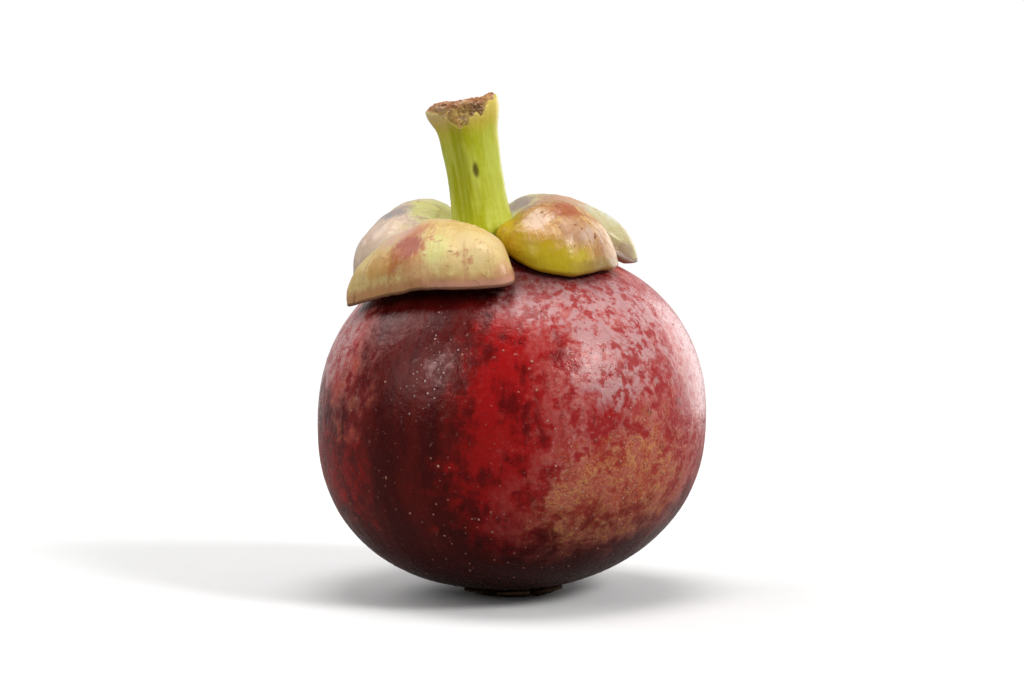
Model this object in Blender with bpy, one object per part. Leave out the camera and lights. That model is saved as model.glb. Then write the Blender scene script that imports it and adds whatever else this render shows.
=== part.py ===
"""A whole mangosteen, standing on the flattened stigma rosette at its blossom end.

Seven grown pieces: the body, the stigma rosette under it, the stalk, and four cupped sepals.
Metres, +Z up. The origin is the centre of the flat face that the fruit stands on.
The calyx (stalk and sepals) sits a little off the top, leaning towards -X, as it grew.
"""

import math

import bmesh
import bpy
from mathutils import Matrix, Vector

# ---- Driving dimensions, in metres and degrees -------------------------------------------------

BODY_DIAMETER = 0.060
BODY_HEIGHT = 0.0530
BASE_THICKNESS = 0.0009      # how far the body is held off the ground by the rosette
EQUATOR_HEIGHT = 0.0275      # height of the widest level above the ground
CLEARANCE = 0.0003           # gap kept between neighbouring pieces

CALYX_LEAN = 9.0             # degrees that the calyx leans from the vertical, towards -X
STALK_LENGTH = 0.0230
STALK_RADIUS = 0.0042
STALK_FOOT_RADIUS = 0.0048
STALK_LIP_RADIUS = 0.0055

ROSETTE_LOBES = 6
ROSETTE_RADIUS = 0.0078
ROSETTE_FLAT_RADIUS = 0.0054
ROSETTE_NOTCH = 0.0026
ROSETTE_EDGE = 0.0005        # thickness at the tips of the lobes
ROSETTE_SEGMENTS = ROSETTE_LOBES * 12
ROSETTE_SHARES = (0.35, 0.68, 0.86, 1.0)
NOTCH_SPREAD = 7.0           # degrees from a notch's middle to where it has mostly opened out
LOBE_CROWN = 0.0006          # how much each lobe's outer edge bulges

BODY_RADIUS = BODY_DIAMETER / 2
BODY_TOP = BASE_THICKNESS + BODY_HEIGHT
BODY_CENTRE = Vector((0.0, 0.0, EQUATOR_HEIGHT))
BODY_SEGMENTS = 56
BODY_RINGS = 29
UPPER_FULLNESS = 2.2         # exponent of the outline: 2 is an ellipse, more is squarer
LOWER_FULLNESS = 2.3

# Gentle departures from a turned shape: (azimuth, elevation, spread, height), degrees and metres.
BODY_SWELLS = [
    (-30.0, -38.0, 26.0, -0.0013),
    (-160.0, -30.0, 34.0, 0.0007),
    (60.0, 15.0, 36.0, -0.0006),
    (150.0, 20.0, 30.0, 0.0004),
    (-80.0, 25.0, 30.0, 0.0003),
    (20.0, 45.0, 24.0, 0.0004),
]


# ---- Small geometry helpers --------------------------------------------------------------------

def direction(azimuth, elevation):
    """Unit vector at an azimuth from +X and an elevation from the horizontal, in degrees."""
    a = math.radians(azimuth)
    e = math.radians(elevation)
    return Vector((math.cos(e) * math.cos(a), math.cos(e) * math.sin(a), math.sin(e)))


def smooth_step(x):
    """0 below 0, 1 above 1, and an even curve between."""
    x = min(1.0, max(0.0, x))
    return x * x * (3.0 - 2.0 * x)


def around(points, angle):
    """Smooth closed curve through (angle, value) pairs, read at an angle in degrees."""
    count = len(points)
    angle = (angle - points[0][0]) % 360.0 + points[0][0]
    for i in range(count):
        start = points[i][0]
        end = points[(i + 1) % count][0] + (360.0 if i == count - 1 else 0.0)
        if start <= angle <= end:
            break
    v0, v1, v2, v3 = (points[(i + k) % count][1] for k in (-1, 0, 1, 2))
    t = (angle - start) / (end - start)
    return 0.5 * (2 * v1 + (v2 - v0) * t
                  + (2 * v0 - 5 * v1 + 4 * v2 - v3) * t * t
                  + (3 * v1 - v0 - 3 * v2 + v3) * t * t * t)


def make_material(name, colour, roughness):
    """A plain surface colour for one kind of tissue."""
    material = bpy.data.materials.new(name)
    material.use_nodes = True
    shader = material.node_tree.nodes["Principled BSDF"]
    shader.inputs["Base Color"].default_value = (*colour, 1.0)
    shader.inputs["Roughness"].default_value = roughness
    shader.inputs["Metallic"].default_value = 0.0
    material.diffuse_color = (*colour, 1.0)
    return material


def make_piece(name, vertices, faces, material, parent=None, sharp_angle=40.0):
    """One named object from points and faces, with its faces turned outwards."""
    mesh = bpy.data.meshes.new(name)
    mesh.from_pydata([tuple(v) for v in vertices], [], faces)
    b = bmesh.new()
    b.from_mesh(mesh)
    bmesh.ops.recalc_face_normals(b, faces=b.faces)
    b.to_mesh(mesh)
    b.free()
    mesh.materials.append(material)
    mesh.shade_smooth()
    mesh.set_sharp_from_angle(angle=math.radians(sharp_angle))
    piece = bpy.data.objects.new(name, mesh)
    bpy.context.scene.collection.objects.link(piece)
    piece.parent = parent
    return piece


def closed_stack(first, rings, last):
    """Points and faces of a closed skin: one point, then rings of equal count, then one point."""
    segments = len(rings[0])
    vertices = [first] + [point for ring in rings for point in ring] + [last]
    end = len(vertices) - 1
    faces = []
    for s in range(segments):
        t = (s + 1) % segments
        faces.append((0, 1 + t, 1 + s))
        for r in range(len(rings) - 1):
            low = 1 + r * segments
            high = low + segments
            faces.append((low + s, low + t, high + t, high + s))
        faces.append((end, end - segments + s, end - segments + t))
    return vertices, faces


# ---- The body ----------------------------------------------------------------------------------

def body_reach(d):
    """Distance from the body's centre to its surface along a unit direction."""
    upper = d.z >= 0.0
    half_height = BODY_TOP - EQUATOR_HEIGHT if upper else EQUATOR_HEIGHT - BASE_THICKNESS
    n = UPPER_FULLNESS if upper else LOWER_FULLNESS
    level = math.hypot(d.x, d.y) / BODY_RADIUS
    reach = (level ** n + (abs(d.z) / half_height) ** n) ** (-1.0 / n)
    for azimuth, elevation, spread, height in BODY_SWELLS:
        away = math.degrees(d.angle(direction(azimuth, elevation)))
        reach += height * math.exp(-(away / spread) ** 2)
    return reach


def body_surface(azimuth, elevation):
    """Point of the body's surface in a direction from its centre."""
    d = direction(azimuth, elevation)
    return BODY_CENTRE + d * body_reach(d)


def body_height_at(x, y, upper):
    """Height of the body's surface over a point on the ground plan, above or below the equator."""
    low, high = (EQUATOR_HEIGHT, BODY_TOP + 0.002) if upper else (0.0, EQUATOR_HEIGHT)
    for _ in range(40):
        z = (low + high) / 2
        offset = Vector((x, y, z)) - BODY_CENTRE
        inside = offset.length < body_reach(offset.normalized())
        if inside == upper:
            low = z
        else:
            high = z
    return (low + high) / 2


def make_body(material):
    """The round fruit itself, as levels from its lowest point to its highest."""
    rings = []
    for r in range(1, BODY_RINGS):
        elevation = -90.0 + 180.0 * r / BODY_RINGS
        rings.append([body_surface(360.0 * s / BODY_SEGMENTS, elevation) for s in range(BODY_SEGMENTS)])
    vertices, faces = closed_stack(body_surface(0.0, -90.0), rings, body_surface(0.0, 90.0))
    return make_piece("fruit_body", vertices, faces, material)


# ---- The stigma rosette ------------------------------------------------------------------------

def rosette_outline(azimuth):
    """Outer radius of the rosette: broad lobes with narrow notches between them."""
    pitch = 360.0 / ROSETTE_LOBES
    from_notch = abs((azimuth + pitch / 2) % pitch - pitch / 2)
    notch = ROSETTE_NOTCH * math.exp(-(from_notch / NOTCH_SPREAD) ** 2)
    crown = LOBE_CROWN * math.cos(math.radians(ROSETTE_LOBES * azimuth))
    return ROSETTE_RADIUS - notch - crown


def make_rosette(material):
    """A flat foot whose lobes thin out as they follow the curve of the body."""
    under = []
    upper = []
    for share in ROSETTE_SHARES:
        low_ring = []
        high_ring = []
        for s in range(ROSETTE_SEGMENTS):
            azimuth = 360.0 * s / ROSETTE_SEGMENTS
            radius = rosette_outline(azimuth) * share
            spot = direction(azimuth, 0.0) * radius
            high = body_height_at(spot.x, spot.y, upper=False) - CLEARANCE
            rise = smooth_step((radius - ROSETTE_FLAT_RADIUS) / (ROSETTE_RADIUS - ROSETTE_FLAT_RADIUS))
            low_ring.append(Vector((spot.x, spot.y, (high - ROSETTE_EDGE) * rise)))
            high_ring.append(Vector((spot.x, spot.y, high)))
        under.append(low_ring)
        upper.append(high_ring)
    middle = Vector((0.0, 0.0, body_height_at(0.0, 0.0, upper=False) - CLEARANCE))
    vertices, faces = closed_stack(Vector((0.0, 0.0, 0.0)), under + upper[::-1], middle)
    return make_piece("stigma_rosette", vertices, faces, material)


# ---- The calyx frame ---------------------------------------------------------------------------

def calyx_frame():
    """Where the stalk meets the body, with local +Z along the stalk."""
    lean = Matrix.Rotation(math.radians(-CALYX_LEAN), 4, "Y")
    foot = body_surface(180.0, 90.0 - CALYX_LEAN)
    return Matrix.Translation(foot) @ lean


# ---- The stalk ---------------------------------------------------------------------------------

# Outline of the stalk: (share of the length, radius), foot to lip.
STALK_OUTLINE = [
    (0.00, STALK_FOOT_RADIUS * 0.90),
    (0.05, STALK_FOOT_RADIUS),
    (0.14, STALK_FOOT_RADIUS * 0.96),
    (0.25, STALK_RADIUS * 1.01),
    (0.45, STALK_RADIUS * 0.98),
    (0.65, STALK_RADIUS),
    (0.80, STALK_RADIUS * 1.06),
    (0.92, STALK_LIP_RADIUS * 0.98),
    (1.00, STALK_LIP_RADIUS),
]
STALK_SEGMENTS = 28
STALK_SQUARENESS = 0.06      # how far the section is from round
LIP_START = 0.8              # share of the length where the stalk begins to flare into its lip
LIP_FLARE = 0.07             # the lip is this much wider on its -X side, and narrower on the other
LIP_RAGGEDNESS = 0.0005      # height of the torn points around the lip
LIP_HOLLOW = 0.0012          # depth of the break scar inside the lip
LIP_TILT = 0.0003            # the lip stands this much higher on its +X side, and lower on the other


def stalk_ring(share, radius, height_shift=0.0):
    """One closed ring of the stalk, with a rounded square section and an uneven lip."""
    ring = []
    lip = smooth_step((share - LIP_START) / (1.0 - LIP_START))
    for s in range(STALK_SEGMENTS):
        a = 2 * math.pi * s / STALK_SEGMENTS
        square = 1.0 + STALK_SQUARENESS * math.cos(4 * a + 0.6)
        flare = 1.0 - LIP_FLARE * lip * math.cos(a)
        reach = radius * square * flare
        ragged = LIP_RAGGEDNESS * lip * (math.sin(3 * a + 0.8) + 0.8 * math.sin(5 * a + 2.0))
        tilt = LIP_TILT * lip * math.cos(a)
        z = CLEARANCE + (STALK_LENGTH - CLEARANCE) * share + tilt + ragged + height_shift
        ring.append(Vector((reach * math.cos(a), reach * math.sin(a), z)))
    return ring


def seated_on_body(ring, frame):
    """The ring with its points lifted, where needed, to clear the body under it."""
    seated = []
    for point in ring:
        world = frame @ point
        height = body_height_at(world.x, world.y, upper=True) + CLEARANCE
        lowest = frame.inverted() @ Vector((world.x, world.y, height))
        seated.append(Vector((point.x, point.y, max(point.z, lowest.z))))
    return seated


def make_stalk(material, frame_object, frame):
    """A short waisted stalk that ends in a hollow, ragged break."""
    rings = [stalk_ring(share, radius) for share, radius in STALK_OUTLINE]
    rings[0] = seated_on_body(rings[0], frame)
    rings.append(stalk_ring(1.0, STALK_LIP_RADIUS * 0.80, -LIP_HOLLOW * 0.3))
    rings.append(stalk_ring(1.0, STALK_LIP_RADIUS * 0.45, -LIP_HOLLOW))
    foot = sum(rings[0], Vector()) / STALK_SEGMENTS
    scar = sum(rings[-1], Vector()) / STALK_SEGMENTS
    vertices, faces = closed_stack(foot, rings, scar)
    return make_piece("stalk", vertices, faces, material, frame_object)


# ---- The sepals --------------------------------------------------------------------------------

SEPAL_CENTRE = 0.0125        # distance of a sepal's middle from the stalk's axis

# Half of a sepal's plan outline about its middle: (degrees from the outward direction, radius).
SEPAL_HALF_OUTLINE = [
    (0.0, 0.0093),
    (25.0, 0.0100),
    (50.0, 0.0117),
    (72.0, 0.0128),
    (92.0, 0.0113),
    (112.0, 0.0093),
    (135.0, 0.0081),
    (158.0, 0.0075),
    (180.0, 0.0073),
]
SEPAL_OUTLINE = SEPAL_HALF_OUTLINE + [(360.0 - a, r) for a, r in reversed(SEPAL_HALF_OUTLINE[1:-1])]
SEPAL_ROUND = 0.0098         # radius of the plan circle that the middle of a sepal starts from

# Each sepal: azimuth about the stalk; length and width against the outline above; crest height;
# height of its outer edge, of its edges on the clockwise and anticlockwise sides seen from above,
# and of its inner edge; fullness of its dome (lower is fuller); thickness; and how much further
# its clockwise and anticlockwise corners reach.
SEPALS = {
    "sepal_front_left": dict(azimuth=-123.5, length=1.04, width=1.02, crest=0.0060, outer=-0.0035,
                             cw_side=-0.0053, ccw_side=-0.0046, inner=0.0021, fullness=0.52,
                             thickness=0.0032, cw_corner=0.0028, ccw_corner=0.0025),
    "sepal_front_right": dict(azimuth=-36.5, length=0.94, width=0.82, crest=0.0060, outer=-0.0080,
                              cw_side=-0.0030, ccw_side=-0.0028, inner=0.0026, fullness=0.52,
                              thickness=0.0036, cw_corner=0.0, ccw_corner=0.0),
    "sepal_back_right": dict(azimuth=48.0, length=1.12, width=0.98, crest=0.0066, outer=-0.0056,
                             cw_side=-0.0060, ccw_side=-0.0036, inner=0.0034, fullness=0.50,
                             thickness=0.0034, cw_corner=0.0031, ccw_corner=0.0006),
    "sepal_back_left": dict(azimuth=141.0, length=0.96, width=1.00, crest=0.0086, outer=-0.0026,
                            cw_side=-0.0028, ccw_side=-0.0030, inner=0.0036, fullness=0.46,
                            thickness=0.0038, cw_corner=0.0, ccw_corner=0.0),
}
CORNER_ANGLE = 72.0          # how far either side of the outward direction the corners lie
CORNER_SPREAD = 15.0
INNER_FULLNESS = 0.95        # a sepal rises gently from the stalk, then domes
THIN_RIM = 0.45              # share of the thickness that is lost between the middle and the rim
SEPAL_GAP = 0.0006           # nearest that a sepal comes to the body
RIM_THICKNESS = 0.0010       # least thickness of a rim that lies along the body
SEPAL_SEGMENTS = 32
SEPAL_SHARES = (0.22, 0.42, 0.60, 0.75, 0.87, 0.95, 1.0)


def sepal_top(sepal, share, angle):
    """Point of a sepal's outer face, in the calyx frame: share 0 is its middle and 1 its rim.

    The angle runs anticlockwise, seen from above, from the direction away from the stalk. The
    middle is a plain round dome, and the outline and rim heights take over towards the rim.
    """
    a = math.radians(angle)
    outward = math.cos(a)
    sideways = math.sin(a)
    takeover = smooth_step(share)
    reach = around(SEPAL_OUTLINE, angle)
    reach += sepal["ccw_corner"] * math.exp(-((angle - CORNER_ANGLE) / CORNER_SPREAD) ** 2)
    reach += sepal["cw_corner"] * math.exp(-((angle - 360.0 + CORNER_ANGLE) / CORNER_SPREAD) ** 2)
    reach = SEPAL_ROUND + (reach - SEPAL_ROUND) * takeover
    side = (sepal["cw_side"] + sepal["ccw_side"]) / 2
    rim = sepal["cw_side"] + (sepal["ccw_side"] - sepal["cw_side"]) * (sideways + 1.0) / 2
    fullness = sepal["fullness"]
    if outward > 0.0:
        rim += (sepal["outer"] - rim) * outward * outward
    else:
        inner = smooth_step(-1.15 * outward)
        rim += (sepal["inner"] - rim) * inner
        fullness += (INNER_FULLNESS - fullness) * inner * takeover
    rim = side + (rim - side) * takeover
    dome = max(0.0, 1.0 - share ** 2) ** fullness
    stretch = 1.0 + (sepal["length"] - 1.0) * smooth_step(outward) * takeover
    x = SEPAL_CENTRE + share * reach * outward * stretch
    y = share * reach * sideways * sepal["width"]
    z = rim + (sepal["crest"] - rim) * dome
    return Matrix.Rotation(math.radians(sepal["azimuth"]), 3, "Z") @ Vector((x, y, z))


def sepal_normal(sepal, share, angle):
    """Outward direction of a sepal's outer face."""
    share = min(0.985, max(0.02, share))
    a = sepal_top(sepal, share + 0.01, angle) - sepal_top(sepal, share - 0.01, angle)
    b = sepal_top(sepal, share, angle + 1.0) - sepal_top(sepal, share, angle - 1.0)
    return a.cross(b).normalized()


def sepal_thickness(sepal, share, angle):
    """Flesh is thickest by the stalk and thins towards the outer rim."""
    inner = smooth_step(-math.cos(math.radians(angle)) * share * 1.3)
    thin = 1.0 - THIN_RIM * smooth_step((share - 0.35) / 0.65)
    return sepal["thickness"] * (thin + 0.6 * inner)


def clear_of_body(point, frame, gap):
    """The point, lifted along the stalk's axis where it would be nearer the body than the gap."""
    lift = Vector((0.0, 0.0, 0.0001))
    while True:
        offset = frame @ point - BODY_CENTRE
        if offset.length > body_reach(offset.normalized()) + gap:
            return point
        point = point + lift


def make_sepal(name, sepal, material, frame_object, frame):
    """A thick cupped leaf: an outer face, a blunt rim and an inner face."""
    outer = []
    inner = []
    for share in SEPAL_SHARES:
        outer_ring = []
        inner_ring = []
        for s in range(SEPAL_SEGMENTS):
            angle = 360.0 * s / SEPAL_SEGMENTS
            point = clear_of_body(sepal_top(sepal, share, angle), frame, SEPAL_GAP + RIM_THICKNESS)
            under = point - sepal_normal(sepal, share, angle) * sepal_thickness(sepal, share, angle)
            outer_ring.append(point)
            inner_ring.append(clear_of_body(under, frame, SEPAL_GAP))
        outer.append(outer_ring)
        inner.append(inner_ring)
    crest = sepal_top(sepal, 0.0, 0.0)
    hollow = crest - Vector((0.0, 0.0, sepal["thickness"]))
    vertices, faces = closed_stack(crest, outer + inner[::-1], hollow)
    return make_piece(name, vertices, faces, material, frame_object)


# ---- Assembly ----------------------------------------------------------------------------------

def main():
    for old in list(bpy.data.objects):
        bpy.data.objects.remove(old)

    rind = make_material("rind", (0.21, 0.025, 0.028), 0.38)
    scar = make_material("stigma", (0.16, 0.085, 0.05), 0.75)
    green = make_material("stalk_green", (0.36, 0.42, 0.05), 0.42)
    leathery = make_material("sepal_skin", (0.45, 0.33, 0.12), 0.42)

    frame = calyx_frame()
    calyx = bpy.data.objects.new("calyx", None)
    bpy.context.scene.collection.objects.link(calyx)
    calyx.matrix_world = frame

    make_body(rind)
    make_rosette(scar)
    make_stalk(green, calyx, frame)
    for name, sepal in SEPALS.items():
        make_sepal(name, sepal, leathery, calyx, frame)


main()
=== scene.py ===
"""A whole mangosteen in a plain studio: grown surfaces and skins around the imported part.

Every piece stands for a solid of the part and rides on its only body. Metres, +Z up, with the
origin where the fruit stands. The calyx frame has its origin where the stalk meets the body and
its +Z along the stalk.
"""

import math

import bmesh
import bpy
import numpy as np
from mathutils import Matrix, Vector, noise


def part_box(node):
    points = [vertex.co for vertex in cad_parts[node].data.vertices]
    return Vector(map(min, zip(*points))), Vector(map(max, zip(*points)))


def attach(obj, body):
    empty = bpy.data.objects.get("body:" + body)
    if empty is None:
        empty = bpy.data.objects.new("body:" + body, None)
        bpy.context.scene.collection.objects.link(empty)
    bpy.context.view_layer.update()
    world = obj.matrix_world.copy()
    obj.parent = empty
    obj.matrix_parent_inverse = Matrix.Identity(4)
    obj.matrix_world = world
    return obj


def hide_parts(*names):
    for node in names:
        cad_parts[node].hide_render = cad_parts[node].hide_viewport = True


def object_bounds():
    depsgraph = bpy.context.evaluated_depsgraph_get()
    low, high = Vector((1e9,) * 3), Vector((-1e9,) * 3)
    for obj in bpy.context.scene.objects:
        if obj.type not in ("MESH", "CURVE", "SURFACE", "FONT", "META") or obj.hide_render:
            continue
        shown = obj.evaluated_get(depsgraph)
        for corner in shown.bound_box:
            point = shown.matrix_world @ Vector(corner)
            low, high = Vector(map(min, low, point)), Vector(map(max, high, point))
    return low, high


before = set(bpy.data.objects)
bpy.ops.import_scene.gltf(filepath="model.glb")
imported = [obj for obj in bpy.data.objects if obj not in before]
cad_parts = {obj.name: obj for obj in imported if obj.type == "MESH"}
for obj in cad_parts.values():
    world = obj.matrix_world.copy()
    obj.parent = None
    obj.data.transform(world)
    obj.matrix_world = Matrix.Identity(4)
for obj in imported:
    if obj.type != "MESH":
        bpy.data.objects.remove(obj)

BODY = "root"
CAD_LOW, CAD_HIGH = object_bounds()
MM = 0.001

# ---- Driving dimensions, as the part has them ---------------------------------------------------

BODY_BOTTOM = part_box("fruit_body")[0].z
BODY_TOP = 0.0539
BODY_RADIUS = 0.030
EQUATOR_HEIGHT = 0.0275
BODY_CENTRE = Vector((0.0, 0.0, EQUATOR_HEIGHT))
UPPER_FULLNESS = 2.2
LOWER_FULLNESS = 2.3
# Gentle departures from a turned shape: azimuth, elevation, spread, height.
BODY_SWELLS = [
    (-30.0, -38.0, 26.0, -1.3 * MM),
    (-160.0, -30.0, 34.0, 0.7 * MM),
    (60.0, 15.0, 36.0, -0.6 * MM),
    (150.0, 20.0, 30.0, 0.4 * MM),
    (-80.0, 25.0, 30.0, 0.3 * MM),
    (20.0, 45.0, 24.0, 0.4 * MM),
]

CALYX_LEAN = 9.0
STALK_LENGTH = 0.0230
STALK_RADIUS = 0.0042
STALK_FOOT_RADIUS = 0.0048
STALK_LIP_RADIUS = 0.0055

SEPAL_CENTRE = 0.0125
SEPAL_ROUND = 0.0098
# Half of a sepal's plan outline about its middle: degrees from the outward direction, radius.
SEPAL_HALF_OUTLINE = [
    (0.0, 0.0093), (25.0, 0.0100), (50.0, 0.0117), (72.0, 0.0128), (92.0, 0.0113),
    (112.0, 0.0093), (135.0, 0.0081), (158.0, 0.0075), (180.0, 0.0073),
]
SEPAL_OUTLINE = SEPAL_HALF_OUTLINE + [(360.0 - a, r) for a, r in reversed(SEPAL_HALF_OUTLINE[1:-1])]
CORNER_ANGLE = 72.0
CORNER_SPREAD = 15.0
INNER_FULLNESS = 0.95
THIN_RIM = 0.45
SEPAL_GAP = 0.0006
RIM_THICKNESS = 0.0010

# Each sepal's shape, as the part has it; then how far its margin stands up as a rounded welt, on
# which side of the outward direction, the share of its thickness that the rim loses, and how far
# its corners are rounded off.
SEPALS = {
    "sepal_front_left": dict(azimuth=-123.5, length=1.04, width=1.02, crest=0.0060, outer=-0.0035,
                             cw_side=-0.0053, ccw_side=-0.0046, inner=0.0021, fullness=0.52,
                             thickness=0.0032, cw_corner=0.0028, ccw_corner=0.0025,
                             welt=0.10 * MM, welt_at=0.0, thinning=0.74, rounding=0.0),
    "sepal_front_right": dict(azimuth=-36.5, length=0.94, width=0.82, crest=0.0060, outer=-0.0080,
                              cw_side=-0.0030, ccw_side=-0.0028, inner=0.0026, fullness=0.52,
                              thickness=0.0036, cw_corner=0.0, ccw_corner=0.0,
                              welt=0.45 * MM, welt_at=-75.0, thinning=0.10, rounding=0.0012),
    "sepal_back_right": dict(azimuth=48.0, length=1.12, width=0.98, crest=0.0066, outer=-0.0056,
                             cw_side=-0.0060, ccw_side=-0.0036, inner=0.0034, fullness=0.50,
                             thickness=0.0034, cw_corner=0.0031, ccw_corner=0.0006,
                             welt=0.12 * MM, welt_at=0.0, thinning=0.70, rounding=0.0),
    "sepal_back_left": dict(azimuth=141.0, length=0.96, width=1.00, crest=0.0086, outer=-0.0026,
                            cw_side=-0.0028, ccw_side=-0.0030, inner=0.0036, fullness=0.46,
                            thickness=0.0038, cw_corner=0.0, ccw_corner=0.0,
                            welt=0.20 * MM, welt_at=20.0, thinning=0.60, rounding=0.0),
}


# ---- Numbers and curves ------------------------------------------------------------------------

def bearing(azimuth, elevation):
    """Unit vector at an azimuth from +X and an elevation from the horizontal, in degrees."""
    a = math.radians(azimuth)
    e = math.radians(elevation)
    return np.array((math.cos(e) * math.cos(a), math.cos(e) * math.sin(a), math.sin(e)))


def unit(vectors):
    return vectors / np.linalg.norm(vectors, axis=-1, keepdims=True)


def smooth_step(x):
    x = np.clip(x, 0.0, 1.0)
    return x * x * (3.0 - 2.0 * x)


def bump_at(x, middle, spread):
    """A smooth hill of height 1 at the middle."""
    return np.exp(-(((x - middle) / spread) ** 2))


def from_middle(angles, middle):
    """Degrees from a middle direction, between -180 and 180."""
    return (angles - middle + 180.0) % 360.0 - 180.0


def spots_around(turns, third, reach=1.0):
    """Points at turns in radians about an axis and a reach from it, with the third coordinate given."""
    return np.stack(np.broadcast_arrays(reach * np.cos(turns), reach * np.sin(turns), third), axis=-1)


def hill(directions, azimuth, elevation, spread):
    """A smooth hill of height 1 on a round thing, read at unit directions."""
    away = np.degrees(np.arccos(np.clip(directions @ bearing(azimuth, elevation), -1.0, 1.0)))
    return bump_at(away, 0.0, spread)


def around(points, angles):
    """Smooth closed curve through (angle, value) pairs, read at angles in degrees."""
    starts = np.array([p[0] for p in points])
    values = np.array([p[1] for p in points])
    angles = angles % 360.0
    i = np.searchsorted(starts, angles, side="right") - 1
    count = len(points)
    ends = np.append(starts[1:], 360.0)
    t = (angles - starts[i]) / (ends[i] - starts[i])
    v0, v1, v2, v3 = (values[(i + k) % count] for k in (-1, 0, 1, 2))
    return 0.5 * (2 * v1 + (v2 - v0) * t
                  + (2 * v0 - 5 * v1 + 4 * v2 - v3) * t * t
                  + (3 * v1 - v0 - 3 * v2 + v3) * t * t * t)


def along(points, x):
    """Smooth open curve through (position, value) pairs."""
    xs = np.array([p[0] for p in points])
    ys = np.array([p[1] for p in points])
    slopes = np.gradient(ys, xs)
    i = np.clip(np.searchsorted(xs, x, side="right") - 1, 0, len(xs) - 2)
    width = xs[i + 1] - xs[i]
    t = (x - xs[i]) / width
    return (ys[i] * (1 + 2 * t) * (1 - t) ** 2 + ys[i + 1] * t * t * (3 - 2 * t)
            + slopes[i] * width * t * (1 - t) ** 2 + slopes[i + 1] * width * t * t * (t - 1))


def grain(points, size, octaves=3):
    """Smooth unevenness of about -1 to 1 with features of a size, read at points."""
    flat = np.asarray(points, float).reshape(-1, 3) / size
    values = [noise.fractal(Vector(p), 1.0, 2.0, octaves) for p in flat]
    return np.array(values).reshape(np.shape(points)[:-1])


def body_reach(d):
    """Distance from the body's centre to its surface along unit directions."""
    upper = d[..., 2] >= 0.0
    half_height = np.where(upper, BODY_TOP - EQUATOR_HEIGHT, EQUATOR_HEIGHT - BODY_BOTTOM)
    n = np.where(upper, UPPER_FULLNESS, LOWER_FULLNESS)
    level = np.hypot(d[..., 0], d[..., 1]) / BODY_RADIUS
    reach = (level ** n + (np.abs(d[..., 2]) / half_height) ** n) ** (-1.0 / n)
    for azimuth, elevation, spread, height in BODY_SWELLS:
        reach = reach + height * hill(d, azimuth, elevation, spread)
    return reach


def calyx_frame():
    d = bearing(180.0, 90.0 - CALYX_LEAN)
    foot = BODY_CENTRE + Vector(d * body_reach(d))
    return Matrix.Translation(foot) @ Matrix.Rotation(math.radians(-CALYX_LEAN), 4, "Y")


CALYX = np.array(calyx_frame())
CALYX_AXIS = CALYX[:3, 2]


def in_place(points):
    """Points of the calyx frame, in the row's frame."""
    return points @ CALYX[:3, :3].T + CALYX[:3, 3]


CLEARING_PASSES = 12
STEEPEST_LIFT = 0.3          # a lift is divided by no less than this where the body's side is steep


def clear_of_body(points, gap, ease=0.0):
    """Row-frame points, lifted along the stalk's axis where they would be nearer the body.

    The ease is about how far above that gap the lift begins, so that it leaves no crease.
    """
    points = points.copy()
    centre = np.array(BODY_CENTRE)
    for start in [ease] + [0.0] * (CLEARING_PASSES - 1):
        offset = points - centre
        far = np.linalg.norm(offset, axis=-1)
        d = offset / far[..., None]
        short = body_reach(d) + gap - far
        lift = (short + np.hypot(short, start)) / 2
        points += (lift / np.maximum(STEEPEST_LIFT, d @ CALYX_AXIS))[..., None] * CALYX_AXIS
    return points


# ---- Meshes ------------------------------------------------------------------------------------

def closed_skin(first, rings, last):
    """Points and faces of a closed skin: one point, then rings of equal count, then one point."""
    levels, segments = rings.shape[:2]
    points = np.vstack([first[None], rings.reshape(-1, 3), last[None]])
    end = len(points) - 1
    faces = []
    for s in range(segments):
        t = (s + 1) % segments
        faces.append((0, 1 + t, 1 + s))
        for r in range(levels - 1):
            low = 1 + r * segments
            faces.append((low + s, low + t, low + segments + t, low + segments + s))
        faces.append((end, end - segments + s, end - segments + t))
    return points, faces


def new_object(name, data):
    """An object in the scene, at the origin."""
    made = bpy.data.objects.new(name, data)
    bpy.context.scene.collection.objects.link(made)
    return made


def stand_for(piece, node):
    """Puts a finished piece in the place of a CAD node: it rides on the body and the node is hidden."""
    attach(piece, BODY)
    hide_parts(node)


def make_piece(name, points, faces, material, node):
    """A smooth closed mesh that stands for one CAD node."""
    mesh = bpy.data.meshes.new(name)
    mesh.from_pydata(points.tolist(), [], faces)
    b = bmesh.new()
    b.from_mesh(mesh)
    bmesh.ops.recalc_face_normals(b, faces=b.faces)
    b.to_mesh(mesh)
    b.free()
    mesh.shade_smooth()
    mesh.materials.append(material)
    piece = new_object(name, mesh)
    stand_for(piece, node)
    return piece


def note(piece, name, first, rings, last):
    """Stores one vector for each point of a closed skin, for the piece's material to read."""
    values = np.vstack([first, rings.reshape(-1, 3), last])
    attribute = piece.data.attributes.new(name, "FLOAT_VECTOR", "POINT")
    attribute.data.foreach_set("vector", np.asarray(values, np.float32).ravel())


# ---- Short calls for node trees -----------------------------------------------------------------

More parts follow.
